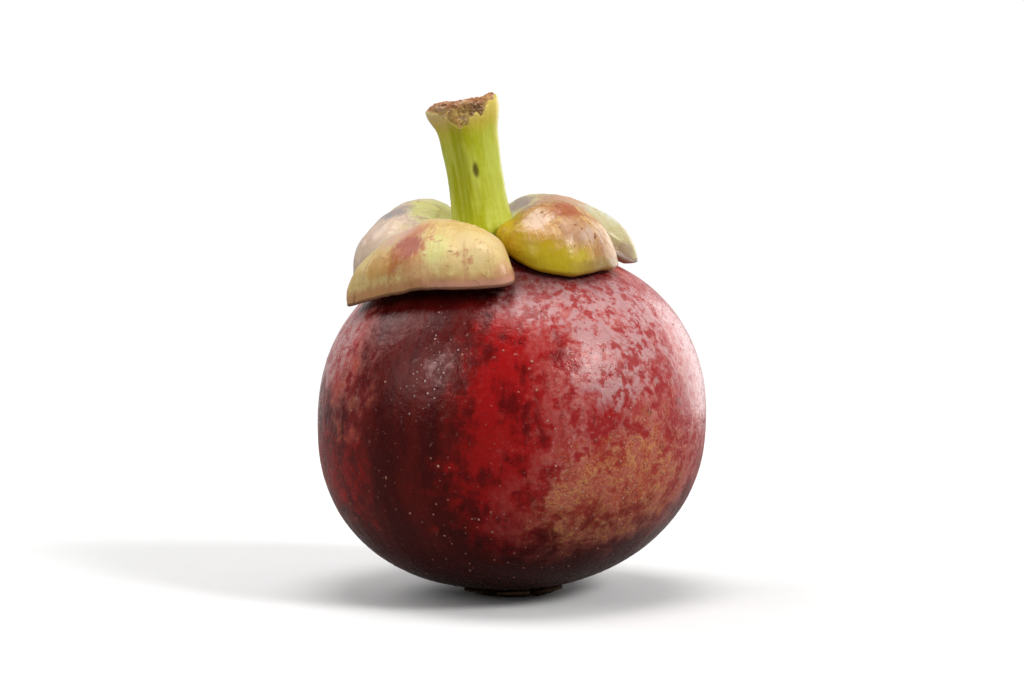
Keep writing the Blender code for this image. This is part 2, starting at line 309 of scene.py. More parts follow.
class Tree:
    """Adds nodes to one tree and joins them. Values may be numbers, colours or sockets."""

    def __init__(self, tree):
        self.tree = tree

    def feed(self, socket, value):
        if isinstance(value, bpy.types.NodeSocket):
            self.tree.links.new(value, socket)
        elif value is not None:
            socket.default_value = value

    def node(self, kind, inputs=None, **settings):
        made = self.tree.nodes.new(kind)
        for name, value in settings.items():
            setattr(made, name, value)
        for name, value in (inputs or {}).items():
            self.feed(made.inputs[name], value)
        return made

    def math(self, operation, a, b=None, c=None):
        made = self.node("ShaderNodeMath", {0: a, 1: b, 2: c}, operation=operation)
        return made.outputs[0]

    def vector(self, operation, a, b=None):
        made = self.node("ShaderNodeVectorMath", {0: a, 1: b}, operation=operation)
        return made.outputs["Value" if operation in ("DOT_PRODUCT", "LENGTH", "DISTANCE") else "Vector"]

    def scaled(self, vector, factor):
        made = self.node("ShaderNodeVectorMath", {0: vector, "Scale": factor}, operation="SCALE")
        return made.outputs["Vector"]

    def split(self, vector):
        return self.node("ShaderNodeSeparateXYZ", {0: vector}).outputs

    def join(self, x, y, z):
        return self.node("ShaderNodeCombineXYZ", {0: x, 1: y, 2: z}).outputs[0]

    def mix(self, factor, a, b, blend_type="MIX"):
        """A colour between two others."""
        made = self.node("ShaderNodeMix", data_type="RGBA", blend_type=blend_type)
        for socket, value in ((0, factor), (6, a), (7, b)):
            self.feed(made.inputs[socket], (*value, 1.0) if isinstance(value, tuple) else value)
        return made.outputs[2]

    def between(self, factor, a, b):
        """A number between two others."""
        made = self.node("ShaderNodeMix", data_type="FLOAT")
        for socket, value in ((0, factor), (2, a), (3, b)):
            self.feed(made.inputs[socket], value)
        return made.outputs[0]

    def place(self):
        """The point's place in the row's frame."""
        return self.node("ShaderNodeTexCoord").outputs["Object"]

    def noted(self, name):
        """A vector that was stored on the piece."""
        return self.node("ShaderNodeAttribute", attribute_name=name).outputs["Vector"]

    def hypot(self, x, y):
        return self.math("SQRT", self.sum([self.product(x, x), self.product(y, y)]))

    def span(self, value, low, high, start=0.0, end=1.0):
        """A number eased from start to end as the value goes from low to high."""
        made = self.node("ShaderNodeMapRange", {0: value, 1: low, 2: high, 3: start, 4: end},
                         interpolation_type="SMOOTHSTEP")
        return made.outputs[0]

    def noise(self, where, scale, detail=3.0, roughness=0.5, distortion=0.0):
        made = self.node("ShaderNodeTexNoise", {"Vector": where, "Scale": scale, "Detail": detail,
                                                "Roughness": roughness, "Distortion": distortion})
        return made.outputs[0]

    def cells(self, where, scale, feature="F1"):
        made = self.node("ShaderNodeTexVoronoi", {"Vector": where, "Scale": scale}, feature=feature)
        return made.outputs

    def sum(self, values):
        total = values[0]
        for value in values[1:]:
            total = self.math("ADD", total, value)
        return total

    def weighted(self, *pairs):
        """The sum of values, each times its weight."""
        return self.sum([self.product(value, weight) for value, weight in pairs])

    def product(self, *values):
        total = values[0]
        for value in values[1:]:
            total = self.math("MULTIPLY", total, value)
        return total

    def swing(self, value, share):
        """A noise's swing about its middle, times a share."""
        return self.math("MULTIPLY_ADD", value, share, -0.5 * share)

    def area(self, direction, azimuth, elevation, spread, strength=1.0):
        """A soft patch on a round thing: strength in its middle, which lies in that direction."""
        tight = 1.0 / math.radians(spread) ** 2
        near = self.vector("DOT_PRODUCT", direction, tuple(bearing(azimuth, elevation)))
        fall = self.math("MULTIPLY", self.math("SUBTRACT", near, 1.0), tight)
        return self.math("MULTIPLY", self.math("EXPONENT", fall), strength)


def new_skin(name, ior=1.45, shine=(1.0, 1.0, 1.0), coat=0.0, coat_roughness=0.3, subsurface=0.0,
             subsurface_scale=0.001):
    """An empty material, its tree and its shader, with what is the same all over set on the shader."""
    material = bpy.data.materials.new(name)
    material.use_nodes = True
    shader = material.node_tree.nodes["Principled BSDF"]
    shader.inputs["Metallic"].default_value = 0.0
    shader.inputs["IOR"].default_value = ior
    shader.inputs["Specular Tint"].default_value = (*shine, 1.0)
    shader.inputs["Coat Weight"].default_value = coat
    shader.inputs["Coat Roughness"].default_value = coat_roughness
    shader.inputs["Subsurface Weight"].default_value = subsurface
    shader.inputs["Subsurface Scale"].default_value = subsurface_scale
    return material, Tree(material.node_tree), shader


def relief(tree, shader, height, depth):
    """Fine relief of the given depth, in metres, where the height goes from 0 to 1."""
    bump = tree.node("ShaderNodeBump", {"Height": height, "Distance": depth, "Strength": 1.0})
    tree.feed(shader.inputs["Normal"], bump.outputs[0])
    tree.feed(shader.inputs["Coat Normal"], bump.outputs[0])


def new_shape_tree(name, sizes, counts, surface=False):
    """A geometry tree whose sizes, counts and skin are named inputs; returns it and those inputs."""
    group = bpy.data.node_groups.new(name, "GeometryNodeTree")

    def add(socket_name, kind, in_out="INPUT"):
        return group.interface.new_socket(socket_name, in_out=in_out, socket_type="NodeSocket" + kind)

    if surface:
        add("Surface", "Geometry")
    for kind, values in (("Float", sizes), ("Int", counts)):
        for socket_name, value in values.items():
            add(socket_name, kind).default_value = value
    add("Skin", "Material")
    add("Geometry", "Geometry", "OUTPUT")
    t = Tree(group)
    return t, t.node("NodeGroupInput").outputs


def end_shape_tree(t, geometry, skin):
    """Makes every instance real, gives the result its skin and sends it out."""
    real = t.node("GeometryNodeRealizeInstances", {"Geometry": geometry})
    dressed = t.node("GeometryNodeSetMaterial", {"Geometry": real.outputs[0], "Material": skin})
    t.node("NodeGroupOutput", {"Geometry": dressed.outputs[0]})
    return t.tree


# ---- The rind ----------------------------------------------------------------------------------

RIND_DIVISIONS = 120         # squares along each edge of the cube that the round body comes from
RIND_RELIEF = 0.11 * MM
RIND_SHINE = (1.0, 0.74, 0.70)
MAROON = (0.066, 0.0022, 0.0024)
BROWN_MAROON = (0.150, 0.0075, 0.0045)
DEEP_RED = (0.150, 0.0028, 0.0035)
RED = (0.400, 0.0060, 0.0070)
CRIMSON = (0.390, 0.0220, 0.0230)
ROSE = (0.590, 0.1650, 0.1450)
PINK = (0.680, 0.3300, 0.3000)
LILAC = (0.600, 0.3300, 0.3300)
RUSSET = (0.560, 0.1250, 0.0650)
GOLD = (0.720, 0.3300, 0.1150)
PIT = (0.030, 0.0020, 0.0030)
RIND_BLOOM = 0.06            # a dusty sheen that shows at grazing angles
RIND_BLOOM_ROUGHNESS = 0.35
RIND_BLOOM_TINT = (1.0, 0.86, 0.86)
POLE_GUARD = 0.05            # keeps the meridians' noise from pinching at the poles
# Soft patches on the rind: azimuth, elevation, spread, strength.
RED_AREAS = [
    (-80.0, 20.0, 15.0, 1.0), (-79.0, 0.0, 15.0, 0.9), (-91.0, -22.0, 15.0, 0.7),
    (-76.0, 44.0, 13.0, 0.7), (-30.0, -8.0, 16.0, 0.5), (40.0, 10.0, 26.0, 0.9),
    (118.0, 25.0, 24.0, 0.8), (170.0, -12.0, 20.0, 0.7),
    (-150.0, -14.0, 15.0, 0.45),
]
ROSE_AREAS = [
    (-35.0, 10.0, 26.0, 1.0), (-50.0, 44.0, 18.0, 0.6), (-86.0, 56.0, 11.0, 0.6),
    (-62.0, -20.0, 18.0, 0.8), (-166.0, 30.0, 12.0, 0.8), (-148.0, 12.0, 12.0, 0.55),
    (16.0, 25.0, 30.0, 0.8), (95.0, -5.0, 26.0, 0.8), (150.0, 38.0, 22.0, 0.7),
]
# Pale lilac patches, partly waxy bloom and partly painted highlight and painted reflection: the front ones
# lie where the key, top and left lights shine and along the edges that mirror the bright backdrop.
BLOOM_AND_HIGHLIGHT_AREAS = [
    (-58.0, 20.0, 9.0, 1.2), (-82.0, 47.0, 10.0, 1.3), (-40.0, 42.0, 11.0, 0.7),
    (-14.0, 20.0, 14.0, 0.9), (-113.0, 20.0, 7.0, 0.5), (-168.0, 26.0, 12.0, 1.2),
    (70.0, 30.0, 14.0, 0.7), (135.0, 10.0, 12.0, 0.6),
]
RUSSET_AREAS = [
    (-62.0, -18.0, 12.0, 0.9), (-43.0, -20.0, 12.0, 0.8), (-72.0, -24.0, 10.0, 0.6),
    (-34.0, 6.0, 20.0, 0.36), (-147.0, 8.0, 11.0, 0.45), (65.0, -28.0, 18.0, 0.8),
    (160.0, -35.0, 16.0, 0.7),
]
# Painted shade in maroon: under the front sepals' rims, and low on the front-left.
SHADED_AREAS = [
    (-118.0, 62.0, 20.0, 1.0), (-54.0, 66.0, 14.0, 0.8), (-125.0, -20.0, 24.0, 0.3),
]


def rind_skin():
    """Waxy skin: maroon to red, streaked along its meridians, mottled rose, with a russet net, pale patches
    of bloom and painted highlight, and painted shade in maroon under the sepals and towards the bottom.
    """
    material, t, shader = new_skin("rind_skin", ior=1.36, shine=RIND_SHINE)
    shader.inputs["Sheen Weight"].default_value = RIND_BLOOM
    shader.inputs["Sheen Roughness"].default_value = RIND_BLOOM_ROUGHNESS
    shader.inputs["Sheen Tint"].default_value = (*RIND_BLOOM_TINT, 1.0)
    place = t.place()
    from_centre = t.vector("SUBTRACT", place, tuple(BODY_CENTRE))
    d = t.vector("NORMALIZE", from_centre)
    x, y, z = t.split(d)
    flat = t.math("MAXIMUM", t.hypot(x, y), POLE_GUARD)
    meridian = t.join(t.math("DIVIDE", x, flat), t.math("DIVIDE", y, flat), t.math("MULTIPLY", z, 0.35))

    def patches(areas, *unevenness):
        whole = t.math("MINIMUM", t.sum([t.area(d, *a) for a in areas]), 1.0)
        return t.sum([whole, *unevenness])

    wander = t.noise(d, 3.1, 4.0, 0.6)
    streaks = t.noise(meridian, 7.0, 5.0, 0.62)
    fine_streaks = t.noise(meridian, 24.0, 4.0, 0.62)
    blotches = t.noise(d, 8.5, 3.0, 0.55, 0.3)
    mottles = t.noise(t.vector("ADD", d, (5.0, 2.0, 9.0)), 18.0, 3.0, 0.6, 0.3)
    flecks = t.noise(d, 36.0, 4.0, 0.62)
    specks = t.noise(t.vector("ADD", d, (7.0, 3.0, 1.0)), 84.0, 3.0, 0.6)
    grit = t.noise(d, 190.0, 2.0, 0.6)

    base = t.mix(t.span(streaks, 0.34, 0.68), MAROON, BROWN_MAROON)
    base = t.mix(t.span(fine_streaks, 0.50, 0.72, 0.0, 0.4), base, MAROON)
    red_area = patches(RED_AREAS, t.swing(wander, 0.7), t.swing(streaks, 0.45), t.swing(mottles, 0.8))
    vivid = t.mix(t.span(t.sum([blotches, t.swing(fine_streaks, 0.6)]), 0.28, 0.54), DEEP_RED, RED)
    base = t.mix(t.span(red_area, 0.28, 0.78), base, vivid)

    rose_area = patches(ROSE_AREAS, t.swing(wander, 0.7), t.swing(streaks, 0.5), t.swing(blotches, 0.5))
    rosy = t.span(rose_area, 0.22, 0.88)
    mottle = t.span(t.sum([mottles, t.swing(blotches, 1.3), t.swing(flecks, 0.35)]), 0.34, 0.66)
    base = t.mix(rosy, base, t.mix(mottle, CRIMSON, ROSE))
    redder = t.span(t.sum([streaks, t.swing(blotches, 0.9), t.swing(mottles, 0.6)]), 0.52, 0.66)
    base = t.mix(t.product(redder, rosy, 0.85), base, RED)
    darker = t.span(t.sum([fine_streaks, t.swing(mottles, 0.9)]), 0.58, 0.74)
    base = t.mix(t.product(darker, rosy, 0.60), base, DEEP_RED)
    paler = t.span(t.sum([flecks, t.swing(specks, 0.5), t.swing(mottles, 0.6)]), 0.50, 0.76)
    base = t.mix(t.product(paler, rosy, 0.26), base, PINK)

    # Lilac patches: partly waxy bloom, partly painted highlight and painted reflection.
    bloom_and_highlight_area = patches(BLOOM_AND_HIGHLIGHT_AREAS, t.swing(wander, 0.6), t.swing(mottles, 0.9))
    broken = t.span(t.sum([mottles, t.swing(flecks, 0.7), t.swing(streaks, 0.5)]), 0.38, 0.58, 0.10, 1.0)
    bloom_and_highlight = t.product(t.span(bloom_and_highlight_area, 0.35, 0.80), broken)
    base = t.mix(t.product(bloom_and_highlight, 0.85), base, LILAC)

    shake = t.node("ShaderNodeTexNoise", {"Vector": d, "Scale": 18.0, "Detail": 3.0}).outputs[1]
    shaken = t.vector("ADD", d, t.scaled(t.vector("SUBTRACT", shake, (0.5, 0.5, 0.5)), 0.085))
    edge = t.cells(shaken, 19.0, "DISTANCE_TO_EDGE")["Distance"]
    fine_edge = t.cells(shaken, 44.0, "DISTANCE_TO_EDGE")["Distance"]
    net = t.math("MAXIMUM", t.span(edge, 0.12, 0.01), t.product(t.span(fine_edge, 0.13, 0.02), 0.75))
    russet = t.span(patches(RUSSET_AREAS, t.swing(blotches, 1.2), t.swing(mottles, 1.0)), 0.30, 1.15)
    threads = t.product(net, russet, t.span(t.sum([mottles, t.swing(specks, 0.7)]), 0.40, 0.58))
    base = t.mix(t.product(russet, 0.55), base, RUSSET)
    base = t.mix(t.product(threads, t.span(wander, 0.30, 0.60, 0.40, 0.85)), base, GOLD)

    dots = t.cells(shaken, 40.0)
    dot_size = t.split(dots["Color"])[0]
    dot = t.span(t.math("SUBTRACT", t.product(dot_size, dot_size, 0.34), dots["Distance"]), 0.0, 0.12)
    base = t.mix(t.product(dot, t.span(flecks, 0.42, 0.62, 0.0, 0.5)), base, PINK)
    pits = t.cells(t.vector("ADD", d, (3.1, 1.7, 5.3)), 38.0)
    pit_size = t.split(pits["Color"])[1]
    pit = t.span(t.math("SUBTRACT", t.product(pit_size, 0.20), pits["Distance"]), 0.0, 0.06)
    base = t.mix(t.product(pit, 0.6), base, PIT)

    # Painted shade: maroon where the sepals shade the rind, and darker towards the bottom.
    shaded = t.span(patches(SHADED_AREAS, t.swing(streaks, 0.5)), 0.15, 0.9, 0.0, 0.85)
    low = t.span(t.sum([z, t.swing(blotches, 0.5), t.swing(mottles, 0.3)]), -0.26, -0.78, 0.0, 0.92)
    base = t.mix(t.math("MAXIMUM", shaded, low), base, MAROON)
    t.feed(shader.inputs["Base Color"], base)

    rough = t.sum([t.span(flecks, 0.38, 0.62, 0.13, 0.30), t.product(threads, 0.20), t.product(grit, 0.06)])
    t.feed(shader.inputs["Roughness"], rough)
    height = t.weighted((blotches, 0.55), (mottles, 0.85), (flecks, 0.60), (specks, 0.20), (grit, 0.04),
                        (fine_streaks, 0.25), (threads, 0.28), (dot, 0.22), (pit, -0.40))
    relief(t, shader, height, RIND_RELIEF)
    return material


def rind_tree():
    """A cube made round, then given the body's outline, its swells and a fine unevenness."""
    sizes = {
        "Radius": BODY_RADIUS,
        "Upper Height": BODY_TOP - EQUATOR_HEIGHT,
        "Lower Height": EQUATOR_HEIGHT - BODY_BOTTOM,
        "Equator Height": EQUATOR_HEIGHT,
        "Upper Fullness": UPPER_FULLNESS,
        "Lower Fullness": LOWER_FULLNESS,
        "Wave Height": 0.30 * MM,
        "Flute Height": 0.26 * MM,
        "Dimple Height": 0.07 * MM,
        "Pucker Height": 0.35 * MM,
    }
    t, given = new_shape_tree("rind_shape", sizes, {"Divisions": RIND_DIVISIONS, "Seed": 7})
    edge_points = t.math("ADD", given["Divisions"], 1.0)
    cube = t.node("GeometryNodeMeshCube", {"Size": (2.0, 2.0, 2.0), "Vertices X": edge_points,
                                           "Vertices Y": edge_points, "Vertices Z": edge_points})
    even = t.vector("TANGENT", t.scaled(t.node("GeometryNodeInputPosition").outputs[0], math.pi / 4))
    d = t.vector("NORMALIZE", even)
    x, y, z = t.split(d)
    upper = t.math("GREATER_THAN", z, 0.0)
    half_height = t.between(upper, given["Lower Height"], given["Upper Height"])
    n = t.between(upper, given["Lower Fullness"], given["Upper Fullness"])
    flat = t.hypot(x, y)
    level = t.math("POWER", t.math("DIVIDE", flat, given["Radius"]), n)
    rise = t.math("POWER", t.math("DIVIDE", t.math("ABSOLUTE", z), half_height), n)
    reach = t.math("POWER", t.math("ADD", level, rise), t.math("DIVIDE", -1.0, n))
    for azimuth, elevation, spread, height in BODY_SWELLS:
        near = t.vector("DOT_PRODUCT", d, tuple(bearing(azimuth, elevation)))
        away = t.math("ARCCOSINE", t.math("MINIMUM", near, 1.0))
        squared = t.math("POWER", t.math("DIVIDE", away, math.radians(spread)), 2.0)
        hill = t.math("EXPONENT", t.math("MULTIPLY", squared, -1.0))
        reach = t.math("ADD", reach, t.math("MULTIPLY", hill, height))

    shifted = t.vector("ADD", d, t.join(given["Seed"], 0.0, 0.0))
    safe = t.math("MAXIMUM", flat, POLE_GUARD)
    meridian = t.join(t.math("ADD", t.math("DIVIDE", x, safe), given["Seed"]),
                      t.math("DIVIDE", y, safe), t.product(z, 0.3))
    away_from_poles = t.span(flat, 0.1, 0.5)
    wave = t.product(t.math("SUBTRACT", t.noise(shifted, 2.4, 2.0), 0.5), given["Wave Height"])
    flute = t.product(t.math("SUBTRACT", t.noise(meridian, 3.6, 2.0), 0.5), given["Flute Height"],
                      away_from_poles)
    dimple = t.product(t.math("SUBTRACT", t.noise(shifted, 16.0, 3.0, 0.6), 0.5), given["Dimple Height"])
    by_the_foot = t.product(t.span(z, -0.86, -0.975), t.span(flat, 0.0, 0.18))
    pucker = t.product(t.math("SUBTRACT", t.noise(meridian, 9.0, 2.0), 0.6), given["Pucker Height"],
                       by_the_foot)
    reach = t.sum([reach, wave, flute, dimple, pucker])
    place = t.vector("ADD", t.scaled(d, reach), t.join(0.0, 0.0, given["Equator Height"]))
    shaped = t.node("GeometryNodeSetPosition", {"Geometry": cube.outputs["Mesh"], "Position": place})
    smooth = t.node("GeometryNodeSetShadeSmooth", {"Geometry": shaped.outputs[0], "Shade Smooth": True})
    return end_shape_tree(t, smooth.outputs[0], given["Skin"])


def grown(name, group, base_mesh, inputs):
    """Runs a geometry tree on a mesh and keeps the result as a plain mesh object."""
    carrier = new_object(name + "_carrier", base_mesh)
    modifier = carrier.modifiers.new("grown", "NODES")
    modifier.node_group = group
    for item in group.interface.items_tree:
        if item.in_out == "INPUT" and item.name in inputs:
            modifier[item.identifier] = inputs[item.name]
    evaluated = carrier.evaluated_get(bpy.context.evaluated_depsgraph_get())
    mesh = bpy.data.meshes.new_from_object(evaluated)
    mesh.name = name
    carrier.modifiers.remove(modifier)
    bpy.data.objects.remove(carrier)
    return new_object(name, mesh)


def make_rind():
    """The body's skin, grown by its geometry tree."""
    piece = grown("rind", rind_tree(), bpy.data.meshes.new("empty"), {"Skin": rind_skin()})
    stand_for(piece, "fruit_body")
    return piece


# ---- Beads strewn on a surface -------------------------------------------------------------------

CROWDING = "crowding"        # the attribute that says how thickly the beads lie, from 0 to 1
BEAD_UNEVENNESS = 0.08       # how far a bead's roughness goes up and down
BEAD_RELIEF = 0.02 * MM


def bead_tree():
    """Low domes strewn over a mesh where its crowding says so, each turned to lie on its face."""
    sizes = {
        "Spacing": 0.9 * MM,
        "Most In A Square Metre": 2.0e5,
        "Bead Radius": 0.17 * MM,
        "Bead Height": 0.05 * MM,
        "Smallest": 0.5,
        "Largest": 1.4,
    }
    t, given = new_shape_tree("strewn_beads", sizes, {"Seed": 3}, surface=True)
    crowding = t.node("GeometryNodeInputNamedAttribute", {"Name": CROWDING}, data_type="FLOAT")
    spots = t.node("GeometryNodeDistributePointsOnFaces", {
        "Mesh": given["Surface"], "Distance Min": given["Spacing"],
        "Density Max": given["Most In A Square Metre"], "Density Factor": crowding.outputs["Attribute"],
        "Seed": given["Seed"]}, distribute_method="POISSON")
    bead = t.node("GeometryNodeMeshUVSphere", {"Segments": 8, "Rings": 5, "Radius": 1.0})
    smooth = t.node("GeometryNodeSetShadeSmooth", {"Geometry": bead.outputs["Mesh"], "Shade Smooth": True})

    def chance(low, high, turn):
        made = t.node("FunctionNodeRandomValue", data_type="FLOAT")
        values = {"Min": low, "Max": high, "Seed": t.math("ADD", given["Seed"], turn)}
        for socket in made.inputs:
            if socket.enabled and socket.name in values:
                t.feed(socket, values[socket.name])
        return [output for output in made.outputs if output.enabled][0]

    size = chance(given["Smallest"], given["Largest"], 1.0)
    width = t.product(size, given["Bead Radius"])
    length = t.product(width, chance(0.8, 1.3, 2.0))
    stretch = t.join(width, length, t.product(size, given["Bead Height"]))
    strewn = t.node("GeometryNodeInstanceOnPoints", {
        "Points": spots.outputs["Points"], "Instance": smooth.outputs[0],
        "Rotation": spots.outputs["Rotation"], "Scale": stretch})
    return end_shape_tree(t, strewn.outputs[0], given["Skin"])


def strew(name, tree, carrier, crowding, node, kind):
    """Beads of one kind on a finished piece, as a piece of their own."""
    surface = carrier.data.copy()
    attribute = surface.attributes.new(CROWDING, "FLOAT", "POINT")
    attribute.data.foreach_set("value", np.asarray(crowding, np.float32))
    piece = grown(name, tree, surface, {"Skin": bead_skin(kind), **kind["sizes"]})
    bpy.data.meshes.remove(surface)
    stand_for(piece, node)


def points_of(piece):
    places = np.empty(len(piece.data.vertices) * 3, np.float32)
    piece.data.vertices.foreach_get("co", places)
    return places.reshape(-1, 3).astype(float)


def bead_skin(kind):
    """The skin of small pale beads, each a little different from the next."""
    material, t, shader = new_skin(kind["skin"], ior=1.4)
    roughness = kind["roughness"]
    place = t.place()
    clouds = t.noise(place, 700.0, 2.0)
    grit = t.noise(place, 4000.0, 3.0)
    colour = t.mix(t.span(t.sum([clouds, t.swing(grit, 0.4)]), 0.35, 0.65), kind["dark"], kind["light"])
    t.feed(shader.inputs["Base Color"], colour)
    t.feed(shader.inputs["Roughness"], t.span(grit, 0.3, 0.7, roughness - BEAD_UNEVENNESS,
                                                roughness + BEAD_UNEVENNESS))
    relief(t, shader, grit, BEAD_RELIEF)
    return material


# The beads on the rind: where they lie thickest (azimuth, elevation, spread, strength), how thickly
# they lie elsewhere, their skin, and the sizes that differ from the tree's own.
RIND_BEADS = {
    "corky_specks": dict(
        areas=[(-55.0, -14.0, 22.0, 0.9), (-96.0, -40.0, 26.0, 0.5), (-50.0, 25.0, 24.0, 0.4),
               (-113.0, -22.0, 9.0, 0.7), (60.0, -20.0, 30.0, 0.6), (170.0, -30.0, 26.0, 0.6),
               (120.0, 30.0, 26.0, 0.4)],
        elsewhere=0.10, skin="speck_skin", dark=(0.300, 0.090, 0.060), light=(0.620, 0.330, 0.230),
        roughness=0.55, sizes={}),
    # Pale grains at the highlights, partly wax and partly painted glint.
    "wax_and_glint_grains": dict(
        areas=[(-117.0, 15.0, 5.0, 1.0), (-113.0, 24.0, 4.0, 0.7), (-86.0, 50.0, 6.0, 0.35),
               (-57.0, 18.0, 6.0, 0.35)],
        elsewhere=0.0, skin="wax_and_glint_skin", dark=(0.340, 0.190, 0.190), light=(0.640, 0.500, 0.500),
        roughness=0.30,
        sizes={"Spacing": 0.45 * MM, "Most In A Square Metre": 1.3e6, "Bead Radius": 0.12 * MM,
               "Bead Height": 0.07 * MM, "Seed": 8}),
    "dried_latex_drops": dict(
        areas=[(62.0, -46.0, 7.0, 0.7), (140.0, -38.0, 9.0, 0.9)],
        elsewhere=0.0, skin="latex_skin", dark=(0.520, 0.260, 0.050), light=(0.760, 0.560, 0.200),
        roughness=0.30,
        sizes={"Spacing": 1.7 * MM, "Most In A Square Metre": 6.0e4, "Bead Radius": 0.42 * MM,
               "Bead Height": 0.22 * MM, "Seed": 11}),
}
BEADS_FROM = -0.90           # the beads keep clear of the rosette and of the stalk's foot: the
BEADS_TO = 0.80              # lowest and highest that a bead's direction from the middle may point


def make_rind_beads(rind, tree):
    """Corky specks all over the rind, pale grains where the lights shine, partly wax and partly painted
    glint, and a few drops of dried latex.
    """
    d = unit(points_of(rind) - np.array(BODY_CENTRE))
    for name, kind in RIND_BEADS.items():
        crowding = np.full(len(d), kind["elsewhere"])
        for azimuth, elevation, spread, strength in kind["areas"]:
            crowding += strength * hill(d, azimuth, elevation, spread)
        crowding = np.clip(crowding, 0.0, 1.0) * (d[:, 2] > BEADS_FROM) * (d[:, 2] < BEADS_TO)
        strew(name, tree, rind, crowding, "fruit_body", kind)


# ---- The stalk ----------------------------------------------------------------------------------

# Outline of the stalk: share of the length, radius, from the flared foot to the lip.
STALK_OUTLINE = [
    (0.00, STALK_FOOT_RADIUS * 1.10), (0.05, STALK_FOOT_RADIUS), (0.14, STALK_FOOT_RADIUS * 0.95),
    (0.25, STALK_RADIUS * 1.01), (0.45, STALK_RADIUS * 0.97), (0.65, STALK_RADIUS * 0.99),
    (0.80, STALK_RADIUS * 1.06), (0.92, STALK_LIP_RADIUS * 0.97), (1.00, STALK_LIP_RADIUS),
]
STALK_SEGMENTS = 168
STALK_LEVELS = 120
SCAR_LEVELS = 34
STALK_SQUARENESS = 0.055
LIP_START = 0.8
LIP_FLARE = 0.07
LIP_RAGGEDNESS = 0.16 * MM
LIP_TILT = 0.1 * MM
LIP_KNOB = (-25.0, 30.0, 0.35 * MM)     # azimuth, spread and height of the knob on the lip
LIP_TUCK = 0.07              # the share of its radius by which the lip's edge turns in
LIP_TUCK_START = 0.965
LIP_TUCK_LENGTH = 0.035
SCAR_HOLLOW = 1.5 * MM
SCAR_REACH = 0.97            # the rings of the break go this share of the way to its middle
TORN_DEPTH = 3.2 * MM
FRONT_TEAR = (-98.0, 66.0)   # azimuth and spread: the skin is torn down furthest here
BACK_TEAR = (95.0, 55.0)
BACK_TEAR_SHARE = 0.42
LEAST_TEAR = 0.03
TORN_STEP = 0.42 * MM        # how far the torn tissue lies inside the skin
TORN_STEP_HEIGHT = 0.35 * MM
STALK_GRAIN_LENGTH = 0.020   # this much height counts as one radius where the stalk's grain is read
LENGTHWISE_STRETCH = 0.35    # and the whole length as this share of a radius for its skin's streaks
LENTICEL = (-86.0, 0.53, 0.65, 1.7)     # azimuth, share of the length, half width and height in mm
FOOT_RIDGES = 0.5 * MM       # the foot stands out in two ridges
FOOT_RIDGE_SHARE = 0.16
FOOT_NARROWING = 0.92
FOOT_SINK = 0.9 * MM         # the foot's lowest ring lies this far below the calyx frame's origin
FOOT_DEPTH = 1.0 * MM        # and the middle of its underside this far


def torn_edge(azimuths):
    """Length of skin missing below the lip, around the stalk."""
    deep, back = (bump_at(from_middle(azimuths, middle), 0.0, spread)
                  for middle, spread in (FRONT_TEAR, BACK_TEAR))
    ragged = 0.30 + 0.55 * grain(spots_around(np.radians(azimuths), 0.0), 0.42, 4)
    tear = deep * (0.72 + ragged) + BACK_TEAR_SHARE * back * (0.5 + ragged)
    return TORN_DEPTH * np.maximum(LEAST_TEAR, tear)


def lip_rise(azimuths):
    """How far the lip's edge stands above the stalk's length, around the stalk."""
    a = np.radians(azimuths)
    grains = grain(spots_around(a, 0.0), 0.12, 3)
    ragged = LIP_RAGGEDNESS * (np.sin(3 * a + 0.8) + 0.8 * np.sin(5 * a + 2.0) + 0.5 * grains)
    knob_azimuth, knob_spread, knob_height = LIP_KNOB
    knob = knob_height * bump_at(from_middle(azimuths, knob_azimuth), 0.0, knob_spread)
    return ragged + LIP_TILT * np.cos(a) + knob


def stalk_wall(azimuths, shares):
    """Rings of the stalk's side, how torn each point is, and how far it is from the lenticel."""
    a = np.radians(azimuths)
    radius = along(STALK_OUTLINE, shares)[:, None]
    lip = smooth_step((shares - LIP_START) / (1.0 - LIP_START))[:, None]
    square = 1.0 + STALK_SQUARENESS * np.cos(4 * a + 0.6)
    flare = 1.0 - LIP_FLARE * lip * np.cos(a)
    tuck = LIP_TUCK * smooth_step((shares - LIP_TUCK_START) / LIP_TUCK_LENGTH)[:, None]
    reach = radius * square * flare * (1.0 - tuck)
    height = STALK_LENGTH * shares[:, None] * np.ones_like(a)
    spots = spots_around(a, height / STALK_GRAIN_LENGTH)
    reach = reach + 0.10 * MM * grain(spots, 0.33, 2) + 0.03 * MM * grain(spots * (1, 1, 6), 0.10, 3)

    torn = smooth_step((height - (STALK_LENGTH - torn_edge(azimuths))) / TORN_STEP_HEIGHT)
    lumps = grain(spots_around(a, height, reach), 0.8 * MM, 4)
    reach = reach - torn * (TORN_STEP + 0.34 * MM * lumps) + 0.12 * MM * bump_at(torn, 0.3, 0.25)

    azimuth, share, half_width, half_height = LENTICEL
    sideways = np.radians(azimuths - azimuth) * STALK_RADIUS / MM
    upright = (height - share * STALK_LENGTH) / MM
    away = np.hypot(sideways / half_width, upright / half_height)
    reach = reach + MM * (0.05 * bump_at(away, 1.0, 0.35) - 0.22 * bump_at(away, 0.0, 0.65))

    ridge = smooth_step((FOOT_RIDGE_SHARE - shares) / FOOT_RIDGE_SHARE)[:, None]
    reach = reach + ridge * FOOT_RIDGES * np.maximum(0.0, np.cos(2 * a + 0.35)) ** 2
    return spots_around(a, height + lip * lip_rise(azimuths), reach), torn, away


